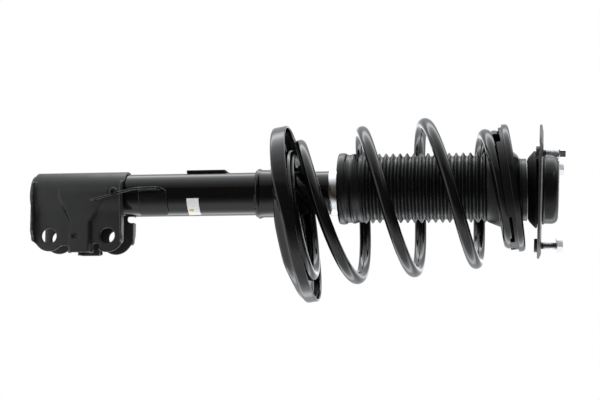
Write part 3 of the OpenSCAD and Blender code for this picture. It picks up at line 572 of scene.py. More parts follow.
def make_damper():
    """The tube with its rolled-in top, the domed cap in its foot and the plated cap over its top."""
    r, z_wall = TUBE_R - TUBE_WALL, Z_TUBE_TOP - TUBE_WALL
    outside = soft([(TUBE_R, Z_BASE), (TUBE_R, Z_TUBE_TOP), (CRIMP_R, Z_TUBE_TOP)], 2.0)
    tube = turned_skin([*outside, (CRIMP_R, z_wall), (r, z_wall), (r, Z_BASE)], STRUT, 160)
    add_piece("strut_tube_painted", tube, gloss_paint, "tube", "black_paint", "strut_tube")
    r -= 0.1
    under = soft([(r, 12), (r, -0.5), (r * 0.8, -2.9), (r * 0.45, -5.2), (0, -5.7)], 3, 5)
    inner = soft([(0, -3.1), (r * 0.45, -2.6), (r - 2.6, 1), (r - 2.6, 12)], 3, 5)
    foot = turned_skin([(a, b + Z_BASE) for a, b in (*under, *inner)], STRUT, 96)
    add_piece("domed_base_cap", foot, gloss_paint, "tube", "black_paint", "base_cap")
    cap_t = 1.3
    r, z = PAD_R + cap_t / 2, Z_TUBE_TOP + 0.1 + cap_t / 2
    cap = round_grid(spaced(soft([(r, Z_TUBE_TOP - 12), (r, z), (13, z)], 2.0), 4), STRUT, 128)
    add_piece("plated_bump_cap", sheet_skin(cap, cap_t), zinc, "tube", "zinc", "bump_cap")


# ---------- knuckle bracket and small brackets ----------


def ear_outline(x, z):
    """Distance to the side outline of an ear, negative inside."""
    def ball(cx, cz, r):
        return np.hypot(x - cx, z - cz) - r

    def slab(x0, x1, z0, z1):
        return np.maximum(np.maximum(x0 - x, x - x1), np.maximum(z0 - z, z - z1))

    def wedge(corners, side):
        edges = []
        for (ax, az), (bx, bz) in zip(corners, corners[1:] + corners[:1]):
            edges.append(side * ((x - ax) * (bz - az) - (z - az) * (bx - ax)) / hypot(bx - ax, bz - az))
        return np.maximum.reduce(edges)

    # a round end about each bolt, and a straight flank from it out to the lip's corner
    back = BOLT_X - 8
    ends = ((Z_BOLT_LOW, Z_BRACKET, 18.0, 55, -1), (Z_BOLT_UP, Z_BRACKET_TOP, 19.5, 40, 1))
    d = slab(-60, BOLT_X + 3.5, Z_BRACKET, Z_BRACKET_TOP)
    for z_bolt, _, r, _, _ in ends:
        d = blend_least(d, ball(BOLT_X, z_bolt, r), 1.5)
    d = blend_least(d, slab(back, BOLT_X + 11.6, Z_BOLT_LOW + 9, Z_RIB), 1.5)
    for z_bolt, z_end, r, degree, side in ends:
        start = (BOLT_X + r * cos(radians(degree)), z_bolt + side * r * sin(radians(degree)))
        d = np.minimum(d, wedge([(back, z_bolt), start, (LIP_FRONT, z_end), (back, z_end)], side))
    # the tab at the rib's end, and a round notch above and below it
    d = np.minimum(d, round_box(x - BOLT_X, z - Z_RIB, TAB_REACH - BOLT_X, RIB_W / 2 + 4, 1.2))
    for side, in_from in ((-1, 16.5), (1, 13)):
        d = blend_most(d, -ball(BOLT_X + in_from, Z_RIB + side * (RIB_W / 2 + 7), 4.0), 1.0)
    return d


def bracket_field(x, y, z):
    """Distance to the knuckle bracket: one pressed sheet round the tube, with ears, lips and a raised rib."""
    side = np.abs(y)
    sleeve = np.hypot(x, y) - SLEEVE_OUT
    # the rib narrows from the sleeve towards the bolts, and stands as far out there as the sleeve
    narrowed = np.clip((x - 2) / 30.7, 0, 1)
    in_rib = np.minimum(z - Z_RIB + 22 - 10.5 * narrowed, Z_RIB - z + 31.5 - 20 * narrowed)
    flank = 5.6 - 3.0 * ramp(x, 16, 34)
    t = np.clip((in_rib + flank) / (flank + 0.6), 0, 1)
    first_rise = 5.3
    rise = first_rise + (SLEEVE_OUT - EAR_OUT - first_rise) * ramp(x, 12, 40)
    slope = rise * 6 * t * (1 - t) / (flank + 0.6)
    height = EAR_OUT + rise * t * t * (3 - 2 * t)
    dimple = np.hypot((x - 49.3) / 3.4, (z + 537.0) / 4.7)
    height = height - np.where(y < 0, 2.6 * (1 - ramp(dimple, 0.6, 1.05)), 0)
    height = height - 0.09 * np.minimum(x, 0) ** 2
    ear = (side - height) / np.sqrt(1 + slope ** 2)
    # the sheet, bent over at both ends to make the lips
    outward = blend_least(sleeve, ear, 6.0) + BRACKET_T
    from_end = np.minimum(z - Z_BRACKET, Z_BRACKET_TOP - z)
    bend = 6.0
    within = (np.minimum(np.maximum(-outward, -from_end), -bend)
              + np.hypot(np.maximum(bend - outward, 0), np.maximum(bend - from_end, 0)))
    lipped = np.maximum(within, -BRACKET_T - within)
    lip_edge = side - LIP_REACH + 5.0 * ramp(x, 42, 53)
    lipped = blend_most(lipped, blend_most(lip_edge, LIP_BACK - x, 6.0), 1.0)
    plain = blend_most(np.maximum(-outward, outward - BRACKET_T), -from_end, 1.0)
    d = np.minimum(lipped, np.maximum(plain, x - (LIP_BACK + 1.5)))
    d = blend_most(d, ear_outline(x, z), 1.2)
    for z_bolt in (Z_BOLT_LOW, Z_BOLT_UP):
        d = blend_most(d, BOLT_R - np.hypot(x - BOLT_X, z - z_bolt), 2.0)
    relief = np.hypot(x - 26, z - (Z_BRACKET_TOP - 3)) - 4
    return np.where(y > 15, blend_most(d, -relief, 1.0), d)


def hose_field(x, y, z):
    """Distance to the hose bracket, x out from the strut's axis at the bracket's own angle."""
    g = radians(HOSE_SLOPE)
    half, z_foot = HOSE_T / 2, Z_HOSE + 4  # the arm slopes away below z_foot
    r = np.hypot(x, y)
    arc = (np.arctan2(y, x) - radians(22)) * (PAD_R + half)
    saddle = blend_most(np.abs(r - PAD_R - half) - half, round_box(arc, z - (Z_HOSE + 17), 18.4, 17, 6), 0.8)
    drop = z_foot - z
    run = 0.5 * (drop + np.sqrt(drop ** 2 + 30)) - 1.2
    middle = tan(g) * run - HOSE_X
    strip = np.abs(y - middle) * cos(g) - half
    flange = round_box(x - 34.5, z - (Z_HOSE + 13), 11.5, 13, 5)
    arm = round_box(x - (HOSE_REACH - 8), z - (z_foot - ARM_LEN * cos(g) + 30.5), 8, 30.5, 7.5)
    plate = blend_most(strip, blend_least(flange, arm, 5), 0.9)
    # a small folded tab with an open hook, half way along the arm
    tab_r = np.hypot(y + 5.2, z - (Z_HOSE - 22.5))
    tab = blend_most(np.abs(x - (HOSE_REACH - 1.6)) - 1.6, tab_r - 4.8, 0.8)
    tab = blend_most(tab, -np.maximum(tab_r - 2.4, HOSE_REACH - 2.2 - x), 0.8)
    tab = np.maximum(tab, y - middle - 1.0)
    d = blend_least(blend_least(saddle, plate, 3.0), tab, 1.2)
    d = np.maximum(d, PAD_R - r)
    to_hole = ARM_LEN - 12
    along = (y + HOSE_X - to_hole * sin(g)) * sin(g) - (z - z_foot + to_hole * cos(g)) * cos(g)
    return blend_most(d, HOSE_HOLE_R - np.hypot(x - (HOSE_REACH - 8), along), 0.8)


def link_field(x, y, z):
    """Distance to the stabilizer link bracket: a saddle and a flat plate with a round end."""
    r = np.hypot(x, y)
    arc = (np.arctan2(y, x) - radians(LINK_CLOCK)) * (PAD_R + 1.5)
    half = 1.5 - 1.1 * ramp(z, Z_LINK + 21, Z_LINK + 30)
    saddle = blend_most(np.abs(r - PAD_R - half) - half, round_box(arc, z - Z_LINK - 4.8, 17.2, 24.8, 6), 0.8)
    taper = np.clip((y - 14) / (LINK_REACH - 14), 0, 1)
    outline = np.maximum(np.abs(z - Z_LINK) - (23 - 9 * taper), np.maximum(-3 - y, y - LINK_REACH))
    from_hole = np.hypot(y - LINK_REACH, z - Z_LINK)
    outline = blend_least(outline, from_hole - 14, 1.0)
    plate = blend_most(np.abs(x + PAD_R + LINK_T / 2) - LINK_T / 2, outline, 1.2)
    d = np.maximum(blend_least(saddle, plate, 3.0), PAD_R - r)
    return blend_most(d, LINK_HOLE_R - from_hole, 0.9)


def make_brackets():
    """The three pressed brackets, each drawn from its field, between two corners and in cells of one size."""
    a = radians(HOSE_CLOCK)
    clocked = np.array([[cos(a), -sin(a), 0], [sin(a), cos(a), 0], [0, 0, 1]]), 0
    for name, field, low, high, step, where, paint, node in (
            ("pressed_knuckle_bracket", bracket_field, (-31.3, -36.2, -592.9), (71, 36.5, -478), 0.9, STRUT,
             satin_paint, "knuckle_bracket"),
            ("hose_bracket_arm", hose_field, (8, -19, -520), (54, 30, -427), 0.75, clocked,
             strap_paint, "hose_bracket"),
            ("stabilizer_link_bracket", link_field, (-31, -6, -414), (1, 58, -355), 0.8, STRUT,
             strap_paint, "link_bracket")):
        points, faces = field_mesh(field, low, high, step)
        skin = placed(points, where), faces
        add_piece(name, skin, paint, "tube", "black_steel", node, angle=60, mend=False)


def make_label():
    """The blank paper label, wrapped round the tube, with a plain yellow block on it."""
    across, steps = 9, 37
    a = np.radians(np.linspace(*LABEL_CLOCK, steps))
    a, r = np.append(a, a[::-1]), np.repeat(LABEL_R, steps)
    points, faces = closed_skin([np.stack([r * np.cos(a), r * np.sin(a), np.full(2 * steps, z)], 1)
                                 for z in np.linspace(*Z_LABEL, across)])
    # the skin is closed round the paper's edge, so its last band of faces gives way to two flat ends
    k = np.arange(steps - 1)
    end = np.stack([k, k + 1, 2 * steps - 2 - k, 2 * steps - 1 - k], 1)
    faces = np.vstack([faces[:-2 * steps], end, end + (across - 1) * 2 * steps])
    mesh = add_piece("blank_label", (points, faces), paper, "tube", "label", "tube_label").data
    mesh.materials.append(yellow_ink)
    for face in mesh.polygons:
        c = face.center / MM
        if INK_Z[0] < c.z < INK_Z[1] and INK_CLOCK[0] < degrees(atan2(c.y, c.x)) < INK_CLOCK[1]:
            face.material_index = 1


# ---------- springs and seats ----------

# The lower seat's rim, from the floor out: radius, shares of the dip and of the rise, and a height over them.
SEAT_RIM = [(83.5, 0.12, 0, 0), (85, 0.45, 0, 0), (86.5, 0.82, 0, 0), (88, 1, 0, 0), (92, 1, 0, 0),
            (94, 0.9, 0.03, 0), (96, 0.55, 0.3, 0), (97.8, 0.18, 0.72, 0), (99.4, 0, 0.95, 0),
            (100.7, 0, 1, 0.35), (101.5, 0, 1, 1.1), (101.8, 0, 1, 2.4)]
# The neck's welds: first and last angle and height of each.
SEAT_WELDS = [(-78, -50, -326.0), (-40, 0, -326.2), (95, 130, -326.0), (200, 235, -326.0)]
WELD_LINE_R, WELD_DROP_R, WELD_SPACING = 26.4, 1.7, 1.4


def make_lower_seat():
    """The deep dish under the spring, drawn in to a neck that is welded round the tube."""
    count, half = 192, SEAT_T / 2
    c = turns(count)[0]
    rows = [ring(PAD_R + half + flare, z, STRUT, count) for flare, z in (
        (1.5, -324.4), (1.1, -323.0), (0.3, -321.4), (0, -319), (0, -314), (0, -309.5))]
    join = 60 - 18 * c
    floor = ring(join, -half, LOWER, count)
    rows += bent_between(rows[-1], floor, ring(0, 0.16 + 0.17 * (1 + c), STRUT, count),
                         ring(0.55, 0, (LOWER[0], 0), count), 16)
    for share in (0.0, 0.3, 0.65):
        rows.append(ring(join * (1 - share) + 82 * share, -half, LOWER, count))
    # towards the wheel the floor's edge dips below the pad's seat, and the rim starts higher
    wheel_side = ramp(c, -0.35, 0.25)
    dip = 4.3 * wheel_side * (1 - 0.95 * ramp(c, 0.62, 0.98))
    rise = 1.4 + 4.6 * wheel_side * (1 - 0.35 * ramp(c, 0.8, 1.0))
    for r, dipped, risen_share, up in SEAT_RIM:
        rows.append(ring(r, risen_share * rise - dipped * dip + up - half, LOWER, count))
    base, top = rows[-1], ring(SEAT_RIM[-1][0], 15.0, LOWER, count)
    rows += [base * (1 - f) + top * f for f in (0.33, 0.66, 1.0)]
    add_piece("pressed_lower_seat", sheet_skin(rows, SEAT_T, 4), seat_paint, "tube", "black_paint",
              "lower_spring_seat", angle=50)
    for number, (first, last, z) in enumerate(SEAT_WELDS):
        a = np.radians(np.linspace(first, last, 24))
        path = np.stack([WELD_LINE_R * np.cos(a), WELD_LINE_R * np.sin(a), np.full(24, z)], 1)
        bead = grown(path_object("weld_line", path), WELD_BEAD, {
            "Drop Radius": WELD_DROP_R * MM, "Spacing": WELD_SPACING * MM, "Unevenness": 0.25, "Seed": number,
            "Finish": gloss_paint})
        add_piece(f"seat_weld_{number}", bead, gloss_paint, "tube", "black_paint")


def make_lower_pad():
    """The rubber ring under the spring's last turn, with a raised lip on each side."""
    outline = [(59.5, 0.2), (77, 0.2), (77.4, 3.0), (76, 5), (74.6, 5.0), (73.4, 3.6), (62.6, 3.6), (61.4, 5.0),
               (60.2, 5)]
    add_piece("lower_spring_pad", turned_skin(outline, LOWER, 144, 0.9), pad_rubber, "tube", "rubber",
              "lower_insulator")


COIL_FROM, COIL_TO = -200, 1650  # angles along the wire, in degrees
EASE_IN, EASE_OUT = (30, 198), (1070, 430)  # where the climb starts and stops, and the length of each bend
COIL_R, DRAWN_LOW, DRAWN_HIGH = 83.2, 15.2, 22.2
COIL_LOW = placed([0, 0, 12.1], LOWER)
COIL_HIGH = placed([0, 0, -16.8], UPPER)


def risen(a):
    """How far the wire has risen at the angle a. It lies flat at both ends."""
    def bent(start, length):
        x = (a - start) / length
        return length * (0 if x <= 0 else x - 0.5 if x >= 1 else x ** 3 - x ** 4 / 2)

    return bent(*EASE_IN) - bent(*EASE_OUT)


def wire_point(a):
    """The middle of the spring wire at the angle a, in degrees."""
    f = risen(a) / risen(COIL_TO)
    across = f * (1 + 0.33 * (1 - f))
    r = COIL_R - DRAWN_LOW * (1 - ramp(a, COIL_FROM, 430)) - DRAWN_HIGH * ramp(a, 1020, 1330)
    tilt = radians(LOWER_TILT + (UPPER_TILT - LOWER_TILT) * f + 1.8 * exp(-((a - 360) / 110) ** 2))
    lean = radians(30 * f ** 4 * (1 - f))
    t = radians(a)
    return (COIL_LOW[0] + (COIL_HIGH[0] - COIL_LOW[0]) * across + r * cos(t) * cos(tilt),
            r * sin(t),
            COIL_LOW[2] + (COIL_HIGH[2] - COIL_LOW[2]) * f + 3.4 * exp(-((a - 350) / 260) ** 2)
            + r * (cos(t) * sin(tilt) - sin(t) * sin(lean)))


def make_spring():
    """The spring wire, swept along its turns. Each length of wire shortens its share of the travel."""
    angles = np.arange(COIL_FROM, COIL_TO + 0.1, 5)
    path = [wire_point(a) for a in angles]
    mesh = grown(path_object("spring_line", path), WOUND_WIRE,
                 {"Wire Radius": WIRE_R * MM, "Sides": 32, "Finish": spring_coat})
    mesh.set_sharp_from_angle(angle=radians(50))
    spring = add_piece("coated_coil_spring", mesh, spring_coat, None, "black_coating", "coil_spring")
    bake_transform(spring, "tube", "spring_top", tuple(COIL_LOW * MM), tuple(COIL_HIGH * MM))
    tree = kdtree.KDTree(len(path))
    for i, p in enumerate(path):
        tree.insert(Vector(p) * MM, i)
    tree.balance()
    share = np.array([np.clip(risen(a) / risen(COIL_TO), 0, 1) for a in angles])
    weights = np.array([share[tree.find(v.co)[1]] for v in mesh.vertices], np.float32)
    mesh.attributes["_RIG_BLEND"].data.foreach_set("value", weights)


def make_upper_seat():
    """The steel pressing over the spring, with a turned-down rim and a flat hub for the bearing."""
    count, half = 176, SEAT_T / 2
    join, rim = 45.5, 71.7
    rows = [ring(r, Z_HUB - half, STRUT, count) for r in (21.3, 25, 29, 33, 35.2)]
    rows += bent_between(rows[-1], ring(join, -half, UPPER, count), ring(0.3, 0, STRUT, count),
                         ring(0.4, 0, (UPPER[0], 0), count), 8)
    for r, z in spaced(soft([(join, -half), (rim, -half), (rim, -6.9)], 3.2), 4):
        rows.append(ring(r, z, UPPER, count))
    add_piece("pressed_upper_seat", sheet_skin(rows, SEAT_T, 4), seat_paint, "spring_top", "black_steel",
              "upper_spring_seat", angle=50)


PAD_SKIRTS = [(228, 76), (336, 16), (10, 160)]  # first angle and span of each
SKIRT_IN, SKIRT_OUT, SKIRT_TOP, SKIRT_FOOT = 67.7, 70.0, -10.4, -16.2


def pad_skirt(first, span):
    """A rubber wall along part of the upper pad's edge, thinner at its foot, with round corners and ends."""
    section = soft([(SKIRT_IN, SKIRT_TOP), (SKIRT_IN + 0.2, SKIRT_FOOT), (SKIRT_OUT - 0.1, SKIRT_FOOT),
                    (SKIRT_OUT, SKIRT_TOP)], 1.0, 4, closed=True)
    middle = np.array([(SKIRT_IN + SKIRT_OUT) / 2, (SKIRT_TOP + SKIRT_FOOT) / 2])
    last = first + span
    cuts = [(a, 1.0) for a in np.linspace(first, last, max(4, int(span / 2.5)) + 1)]
    cuts = [(first - 0.5, 0.0), (first - 0.1, 0.8), *cuts, (last + 0.1, 0.8), (last + 0.5, 0.0)]
    rows = []
    for a, share in cuts:
        r, z = (middle + (section - middle) * share).T
        rows.append(np.stack([r * cos(radians(a)), r * sin(radians(a)), z], 1))
    return closed_skin(placed(rows, UPPER))


def make_upper_pad():
    """The moulded rubber between the spring and its upper seat: a grooved ring, skirts over the last turn and a
    collar round the boot."""
    count = 144
    body = [(37.5, -2.8), (67.4, -2.8), (70.0, -5.4), (70.0, -11.4), (68.4, -11.4), (67.9, -9.9)]
    body += [(61 + 7.4 * cos(a), -16.8 + 7.4 * sin(a)) for a in np.radians(np.linspace(54, 126, 13))]
    body += [(54.4, -11.4), (52, -12.2), (37.5, -12.2)]
    grooved = turned_skin(soft(body, 0.6, 2, closed=True, least=25), UPPER, count)
    foot = [ring(r, z, STRUT, count, BOOT_X)
            for r, z in ((36.0, -61.5), (36.6, -62.9), (38.4, -62.9), (39.3, -61.8))]
    shoulder, inside = ring(53, -11.8, UPPER, count), ring(38, -10.5, UPPER, count)
    flank = bent_between(foot[-1], shoulder, ring(0.15, 0.28, STRUT, count), ring(0.25, 0.2, STRUT, count), 8)
    back = [inside * (1 - f) + foot[0] * f for f in (0.0, 0.3, 0.6, 0.85)]
    collar = closed_skin([*foot, *flank, shoulder, ring(52, -8.0, UPPER, count), *back])
    skin = joined(grooved, collar, *(pad_skirt(first, span) for first, span in PAD_SKIRTS))
    add_piece("upper_spring_pad", skin, pad_rubber, "spring_top", "rubber", "upper_insulator", angle=40)


def make_boot():
    """The bellows boot: a bell with two beads, a row of narrow folds and a plain neck."""
    wall, crest, steps, folds, pitch, start = 1.4, 40.2, 16, 18, 8.0, 26.3
    bell = soft([(38.8, 0.4), (40.2, 0.0), (41.0, 1.6), (41.3, 4.0), (41.3, 6.6), (40.6, 8.6), (39.4, 10.0),
                 (39.2, 13.0), (39.5, 14.4), (40.3, 15.8), (40.3, 18.4), (39.4, 19.9), (39.1, 21.5),
                 (39.0, start)], 1.0, 3, least=10)
    line = [*bell]
    for f in np.arange(folds * steps + 1) / steps:
        wave = (0.5 - 0.5 * cos(2 * pi * f)) ** 1.4
        valley = 36.1 + 2.9 * max(0.0, 1 - f / 0.5) ** 2
        line.append((valley + (crest - valley) * wave, start + f * pitch))
    outer = np.array([*line, (35.8, start + folds * pitch + 1.5), (35.6, BOOT_LEN)])
    inner = outer[::-2] - (wall, 0)
    boot = add_piece("bellows_boot", turned_skin([*outer, *inner], BOOT, 160), boot_rubber, "spring_top",
                     "boot_rubber", "dust_boot", angle=70)
    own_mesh(boot)


# ---------- bearing and top mount ----------


def make_bearing_housing():
    """The bearing's moulded housing on the upper seat's hub."""
    outline = [(21, -25.5), (35.9, -25.5), (35.9, -24.2), (35.0, -23.9), (35.0, -23.3), (35.3, -23.0),
               (35.3, -17.9), (33.6, -17.9), (33.6, -21.9), (21, -21.9)]
    add_piece("bearing_housing", turned_skin(outline, STRUT, 128, 0.25), race_plastic, "spring_top",
              "black_steel", "bearing_lower_race")


def make_mount_pressings():
    """The rubbered cup over the bearing, the round plate and the raised housing. The plate is a little off the
    housing's axis and turned down at its edge, with a flat pad under each stud."""
    cup = spaced(soft([(14, -16), (34.0, -16), (42.6, -8.2)], 4.0), 3)
    add_piece("mount_cup", sheet_skin(round_grid(cup, STRUT, 128), SEAT_T), rubber, "mount", "black_steel",
              "mount_lower_cup")
    count, half = 216, PLATE_T / 2
    c, s = turns(count)
    rows = []
    for r, z in spaced(soft([(37.4, -half), (65.5, -half), (74.7, -3.1)], 3.0), 1.6):
        height, shift = np.full(count, z), PLATE_X * ramp(r, 38, 60)
        for a in np.radians(STUD_CLOCK + 360 / STUDS * np.arange(STUDS)):
            away = np.hypot(r * c + shift - STUD_CIRCLE * cos(a), r * s - STUD_CIRCLE * sin(a))
            flat = 1 - ramp(away, 8.9, 12.5)
            height = height * (1 - flat) - half * flat
        rows.append(ring(r, height, MOUNT, count, shift))
    add_piece("round_mount_plate", sheet_skin(rows, PLATE_T, 4), plate_paint, "mount", "black_steel",
              "mount_plate", angle=50)
    shell = spaced(soft([(38.6, 1.5), (37.3, 2.6), (37.3, 16.3), (22, 17.1)], 8.0, 10), 2.0)
    add_piece("mount_housing", sheet_skin(round_grid(shell, MOUNT, 144), SEAT_T), mount_paint, "mount",
              "black_steel", "mount_shell")


def stud():
    """One stud: head, knurled neck and a thread, turned as a helix."""
    sides, pitch, thread_end = 30, 1.25, 22.2
    a = np.arange(sides) * 2 * pi / sides
    knurl = 4.5 + 0.12 * np.cos(15 * a)
    rows = [(0, -8.1), (7.3, -8.1), (7.75, -7.6), (7.75, -3.5), (7.5, -3.12)]
    rows += [(knurl, z) for z in (-3.1, -0.2, -0.15)]
    for z in np.arange(0.3, thread_end, pitch / 8):
        turn = (z / pitch - a / (2 * pi)) % 1.0
        fade = min(1.0, max(0.0, (thread_end - z) / 1.2))
        rows.append((3.5 + 0.45 * (1 - np.abs(2 * turn - 1)) * fade, z))
    rows += [(3.2, 22.9), (0, 23.0)]
    return closed_skin([ring(r, z, STRUT, sides) for r, z in rows])


def flange_nut(af, height, bore, flange_r, base):
    """One hexagonal flange nut with chamfered corners, on its seat at that height. af is across its flats."""
    sides = 72
    from_flat = np.arange(sides) * 2 * pi / sides % (pi / 3) - pi / 6  # a corner lies on the first axis
    hexagon = af / 2 / np.cos(from_flat)
    top_r = np.minimum(hexagon, af / 2 + 0.35)
    rows = [(bore, 0), (flange_r - 0.3, 0), (flange_r, 0.35), (flange_r, 1.3), (flange_r - 0.8, 1.9),
            (np.minimum(hexagon + 0.2, flange_r - 0.9), 2.1), (hexagon, 2.5), (hexagon, height - 0.9),
            (top_r, height - 0.15), (top_r - 0.3, height), (bore + 0.9, height), (bore, height - 0.8)]
    return closed_skin([ring(r, base + z, STRUT, sides) for r, z in rows])


def make_fasteners():
    """The studs and their nuts round the mount, and the rod's nut on its washer."""
    mesh = round_pattern("top_studs", stud(), stud_steel, STUD_CLOCK, 30)
    add_piece("threaded_top_studs", mesh, stud_steel, "mount", "black_steel", "mount_studs")
    mesh.materials.append(plate_paint)
    up = Vector(MOUNT[0][:, 2])
    for face in mesh.polygons:  # the head and the foot of the thread took the plate's coat
        face.material_index = int(face.center.dot(up) < 2.6 * MM)
    mesh = round_pattern("top_nuts", flange_nut(13.0, 8.0, 3.65, 8.9, 16.0), zinc, STUD_CLOCK + 360 / STUDS, 25,
                         first_turn=40, turn_step=30)
    add_piece("zinc_flange_nuts", mesh, zinc, "mount", "zinc", "stud_nuts")
    washer = turned_skin([(7.2, 3.1), (16, 3.1), (16, 5.05), (7.2, 5.05)], STRUT, 96, 0.3)
    add_piece("rod_lock_nut", joined(flange_nut(22.0, 10.0, 7.1, 16.0, 5.1), washer), zinc, "mount", "steel",
              "rod_nut", angle=25)


for make in (make_damper, make_brackets, make_label, make_lower_seat, make_lower_pad, make_spring,
             make_upper_seat, make_upper_pad, make_boot, make_bearing_housing, make_mount_pressings,
             make_fasteners):
    make()

# ---------- finishes of the pieces that keep their CAD shape ----------

for surface, names in (
        (bare_steel, ("inner_cylinder", "base_valve", "rod_guide", "bearing_upper_race", "mount_core", "piston",
                      "piston_nut")),
        (rubber, ("oil_seal", "mount_rubber", "rebound_stop")), (chrome, ("bearing_balls", "piston_rod")),
        (band, ("piston_band",)), (foam, ("bump_stop",))):
    for node_name in names:
        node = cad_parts[node_name]
        if not node.material_slots:
            node.data.materials.append(surface)
        for holder in node.material_slots:
            holder.material = surface

# ---------- camera ----------

CAMERA_TURN, CAMERA_TIP, CAMERA_ROLL = 7.0, 8.0, 0.85  # degrees
CAMERA_DISTANCE, LENS, SENSOR = 1.624, 84.0, 36.0
AIM_ACROSS, AIM_HEIGHT = 0.0078, -0.2775

scene.view_settings.view_transform = "Standard"
turn, tip, roll = radians(CAMERA_TURN), radians(CAMERA_TIP), radians(CAMERA_ROLL)
axis = Vector((0, 0, 1))
toward = Vector((sin(turn), -cos(turn), 0))
across = Vector((cos(turn), sin(turn), 0))
level_right = axis * cos(tip) - toward * sin(tip)  # the strut lies on its side in the view
back = toward * cos(tip) + axis * sin(tip)
right = level_right * cos(roll) + across * sin(roll)
down = across * cos(roll) - level_right * sin(roll)
aim = across * AIM_ACROSS + axis * AIM_HEIGHT
camera = add_object("main_camera", bpy.data.cameras.new("main_camera"))
camera.data.sensor_fit, camera.data.sensor_width, camera.data.lens = "HORIZONTAL", SENSOR, LENS
camera.data.clip_start, camera.data.clip_end = 0.05, 20
camera.matrix_world = (Matrix.Translation(aim + back * CAMERA_DISTANCE)
                       @ Matrix((right, -down, back)).transposed().to_4x4())
scene.camera = camera

# ---------- studio ----------

# Brightness round the strut's axis, in degrees from the camera's side: dim in front, grey to the sides and
# behind, and a bright band near 125 degrees on each side, which draws the line inside each wire's dark outline.
PANELS = [(-180, 1.8), (180, 1.8), (-172, 0.8), (-155, 0.75), (-141, 1.1), (-125, 4.6), (-112, 2.7), (-97, 1.7),
          (-82, 1.2), (-67, 0.72), (-52, 0.38), (-46, 0.32), (-38, 0.085), (-25, 0.065), (0, 0.06), (17, 0.07),
          (29, 0.20), (40, 0.46), (51, 0.9), (62, 1.05), (83, 0.95), (98, 1.1), (113, 2.0), (126, 3.6),
          (140, 1.2), (155, 0.75), (172, 0.8)]
BRIGHTEST = max(level for _, level in PANELS)
END_LIGHT = 1.1
DIM_TINT, BRIGHT_TINT = (1.12, 0.99, 0.88, 1), (0.985, 1.0, 1.02, 1)
FILL_WATTS = 24.0
FLOOR_R, FLOOR_Z = 0.45, -0.66


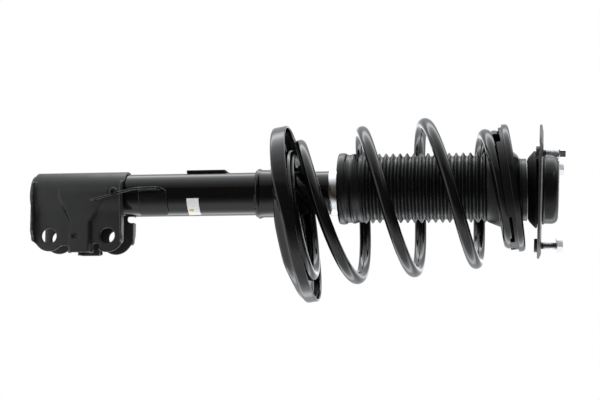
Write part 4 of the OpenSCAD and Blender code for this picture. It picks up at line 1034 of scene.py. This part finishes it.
def make_studio():
    """Panels all round the strut, dim and warm on the camera's side. The camera sees plain white behind it."""
    scene.world = bpy.data.worlds.new("studio")
    tree = empty_tree(scene.world)
    way = add_node(tree, "ShaderNodeTexCoord").outputs["Generated"]
    to_camera, side, up = (
        add_node(tree, "ShaderNodeVectorMath", {0: way, 1: line}, operation="DOT_PRODUCT").outputs["Value"]
        for line in (toward, across, axis))
    angle = add_node(tree, "ShaderNodeMath", {0: side, 1: to_camera}, operation="ARCTAN2")
    way_round = add_node(tree, "ShaderNodeMath", {0: angle, 1: 1 / (2 * pi), 2: 0.5}, operation="MULTIPLY_ADD")
    panels = add_node(tree, "ShaderNodeValToRGB", {"Fac": way_round})
    panels.color_ramp.interpolation = "EASE"
    stops = panels.color_ramp.elements
    for k, (degree, level) in enumerate(PANELS):
        place = (degree + 180) / 360
        stop = stops[k] if k < 2 else stops.new(place)
        stop.position = place
        stop.color = (level / BRIGHTEST,) * 3 + (1,)
    bright = add_node(tree, "ShaderNodeMath", {0: panels, 1: BRIGHTEST}, operation="MULTIPLY")
    # the top mount's end is dark above 60 degrees, less so towards the side that faces down in the view
    overhead = add_node(tree, "ShaderNodeMapRange", {
        "Value": up, "From Min": sin(radians(40)), "From Max": sin(radians(60))},
        interpolation_type="SMOOTHSTEP")
    under = add_node(tree, "ShaderNodeMapRange", {
        "Value": side, "From Min": -0.1, "From Max": 0.25, "To Min": 0.86, "To Max": 0.40},
        interpolation_type="SMOOTHSTEP")
    loss = add_node(tree, "ShaderNodeMath", {0: overhead, 1: under}, operation="MULTIPLY")
    kept = add_node(tree, "ShaderNodeMath", {0: 1.0, 1: loss}, operation="SUBTRACT")
    shaded = add_node(tree, "ShaderNodeMath", {0: bright, 1: kept}, operation="MULTIPLY")
    # the knuckle's end is an even white, which draws a bright line along each wire's lower edge
    below = add_node(tree, "ShaderNodeMath", {0: up, 1: -1.0}, operation="MULTIPLY")
    low_end = add_node(tree, "ShaderNodeMapRange", {
        "Value": below, "From Min": sin(radians(44)), "From Max": sin(radians(62))},
        interpolation_type="SMOOTHSTEP")
    level = add_node(tree, "ShaderNodeMix", {0: low_end, 2: shaded, 3: END_LIGHT})
    white = add_node(tree, "ShaderNodeMapRange", {"Value": level, "From Min": 0.1, "From Max": 0.45},
                     interpolation_type="SMOOTHSTEP")
    tint = add_node(tree, "ShaderNodeMix", {0: white, 6: DIM_TINT, 7: BRIGHT_TINT}, data_type="RGBA")
    panel_light = add_node(tree, "ShaderNodeBackground", {"Color": tint.outputs[2], "Strength": level})
    plain = add_node(tree, "ShaderNodeBackground", {"Color": (1, 1, 1, 1)})
    seen = add_node(tree, "ShaderNodeLightPath").outputs["Is Camera Ray"]
    choose = add_node(tree, "ShaderNodeMixShader", {0: seen, 1: panel_light, 2: plain})
    add_node(tree, "ShaderNodeOutputWorld", {"Surface": choose})


def make_fill_lamp():
    """One wide soft lamp beside the camera. It lights matte surfaces and is not mirrored in the gloss."""
    lamp = bpy.data.lights.new("fill_lamp", "AREA")
    lamp.shape, lamp.size, lamp.energy = "DISK", 2.0, FILL_WATTS
    holder = add_object("fill_lamp", lamp)
    holder.location = aim + back * 3.0 - across * 0.8
    holder.rotation_euler = (aim - holder.location).to_track_quat("-Z", "Y").to_euler()
    holder.visible_glossy = holder.visible_camera = False


def make_floor():
    """A small pale disc under the strut, which the camera and mirrors see as plain white."""
    b = bmesh.new()
    bmesh.ops.create_circle(b, cap_ends=True, radius=FLOOR_R, segments=96)
    mesh = bpy.data.meshes.new("pale_floor")
    b.to_mesh(mesh)
    b.free()
    mesh.transform(Matrix.Translation((0, 0, FLOOR_Z)))
    floor = add_object("pale_floor", mesh)
    pale = bpy.data.materials.new("pale_floor")
    tree = empty_tree(pale)
    path = add_node(tree, "ShaderNodeLightPath").outputs
    seen = add_node(tree, "ShaderNodeMath", {0: path["Is Camera Ray"], 1: path["Is Glossy Ray"]},
                    operation="MAXIMUM")
    matte = add_node(tree, "ShaderNodeBsdfDiffuse", {"Color": (0.85, 0.85, 0.85, 1)})
    glow = add_node(tree, "ShaderNodeEmission")
    choose = add_node(tree, "ShaderNodeMixShader", {0: seen, 1: matte, 2: glow})
    add_node(tree, "ShaderNodeOutputMaterial", {"Surface": choose})
    mesh.materials.append(pale)


make_studio()
make_fill_lamp()
make_floor()
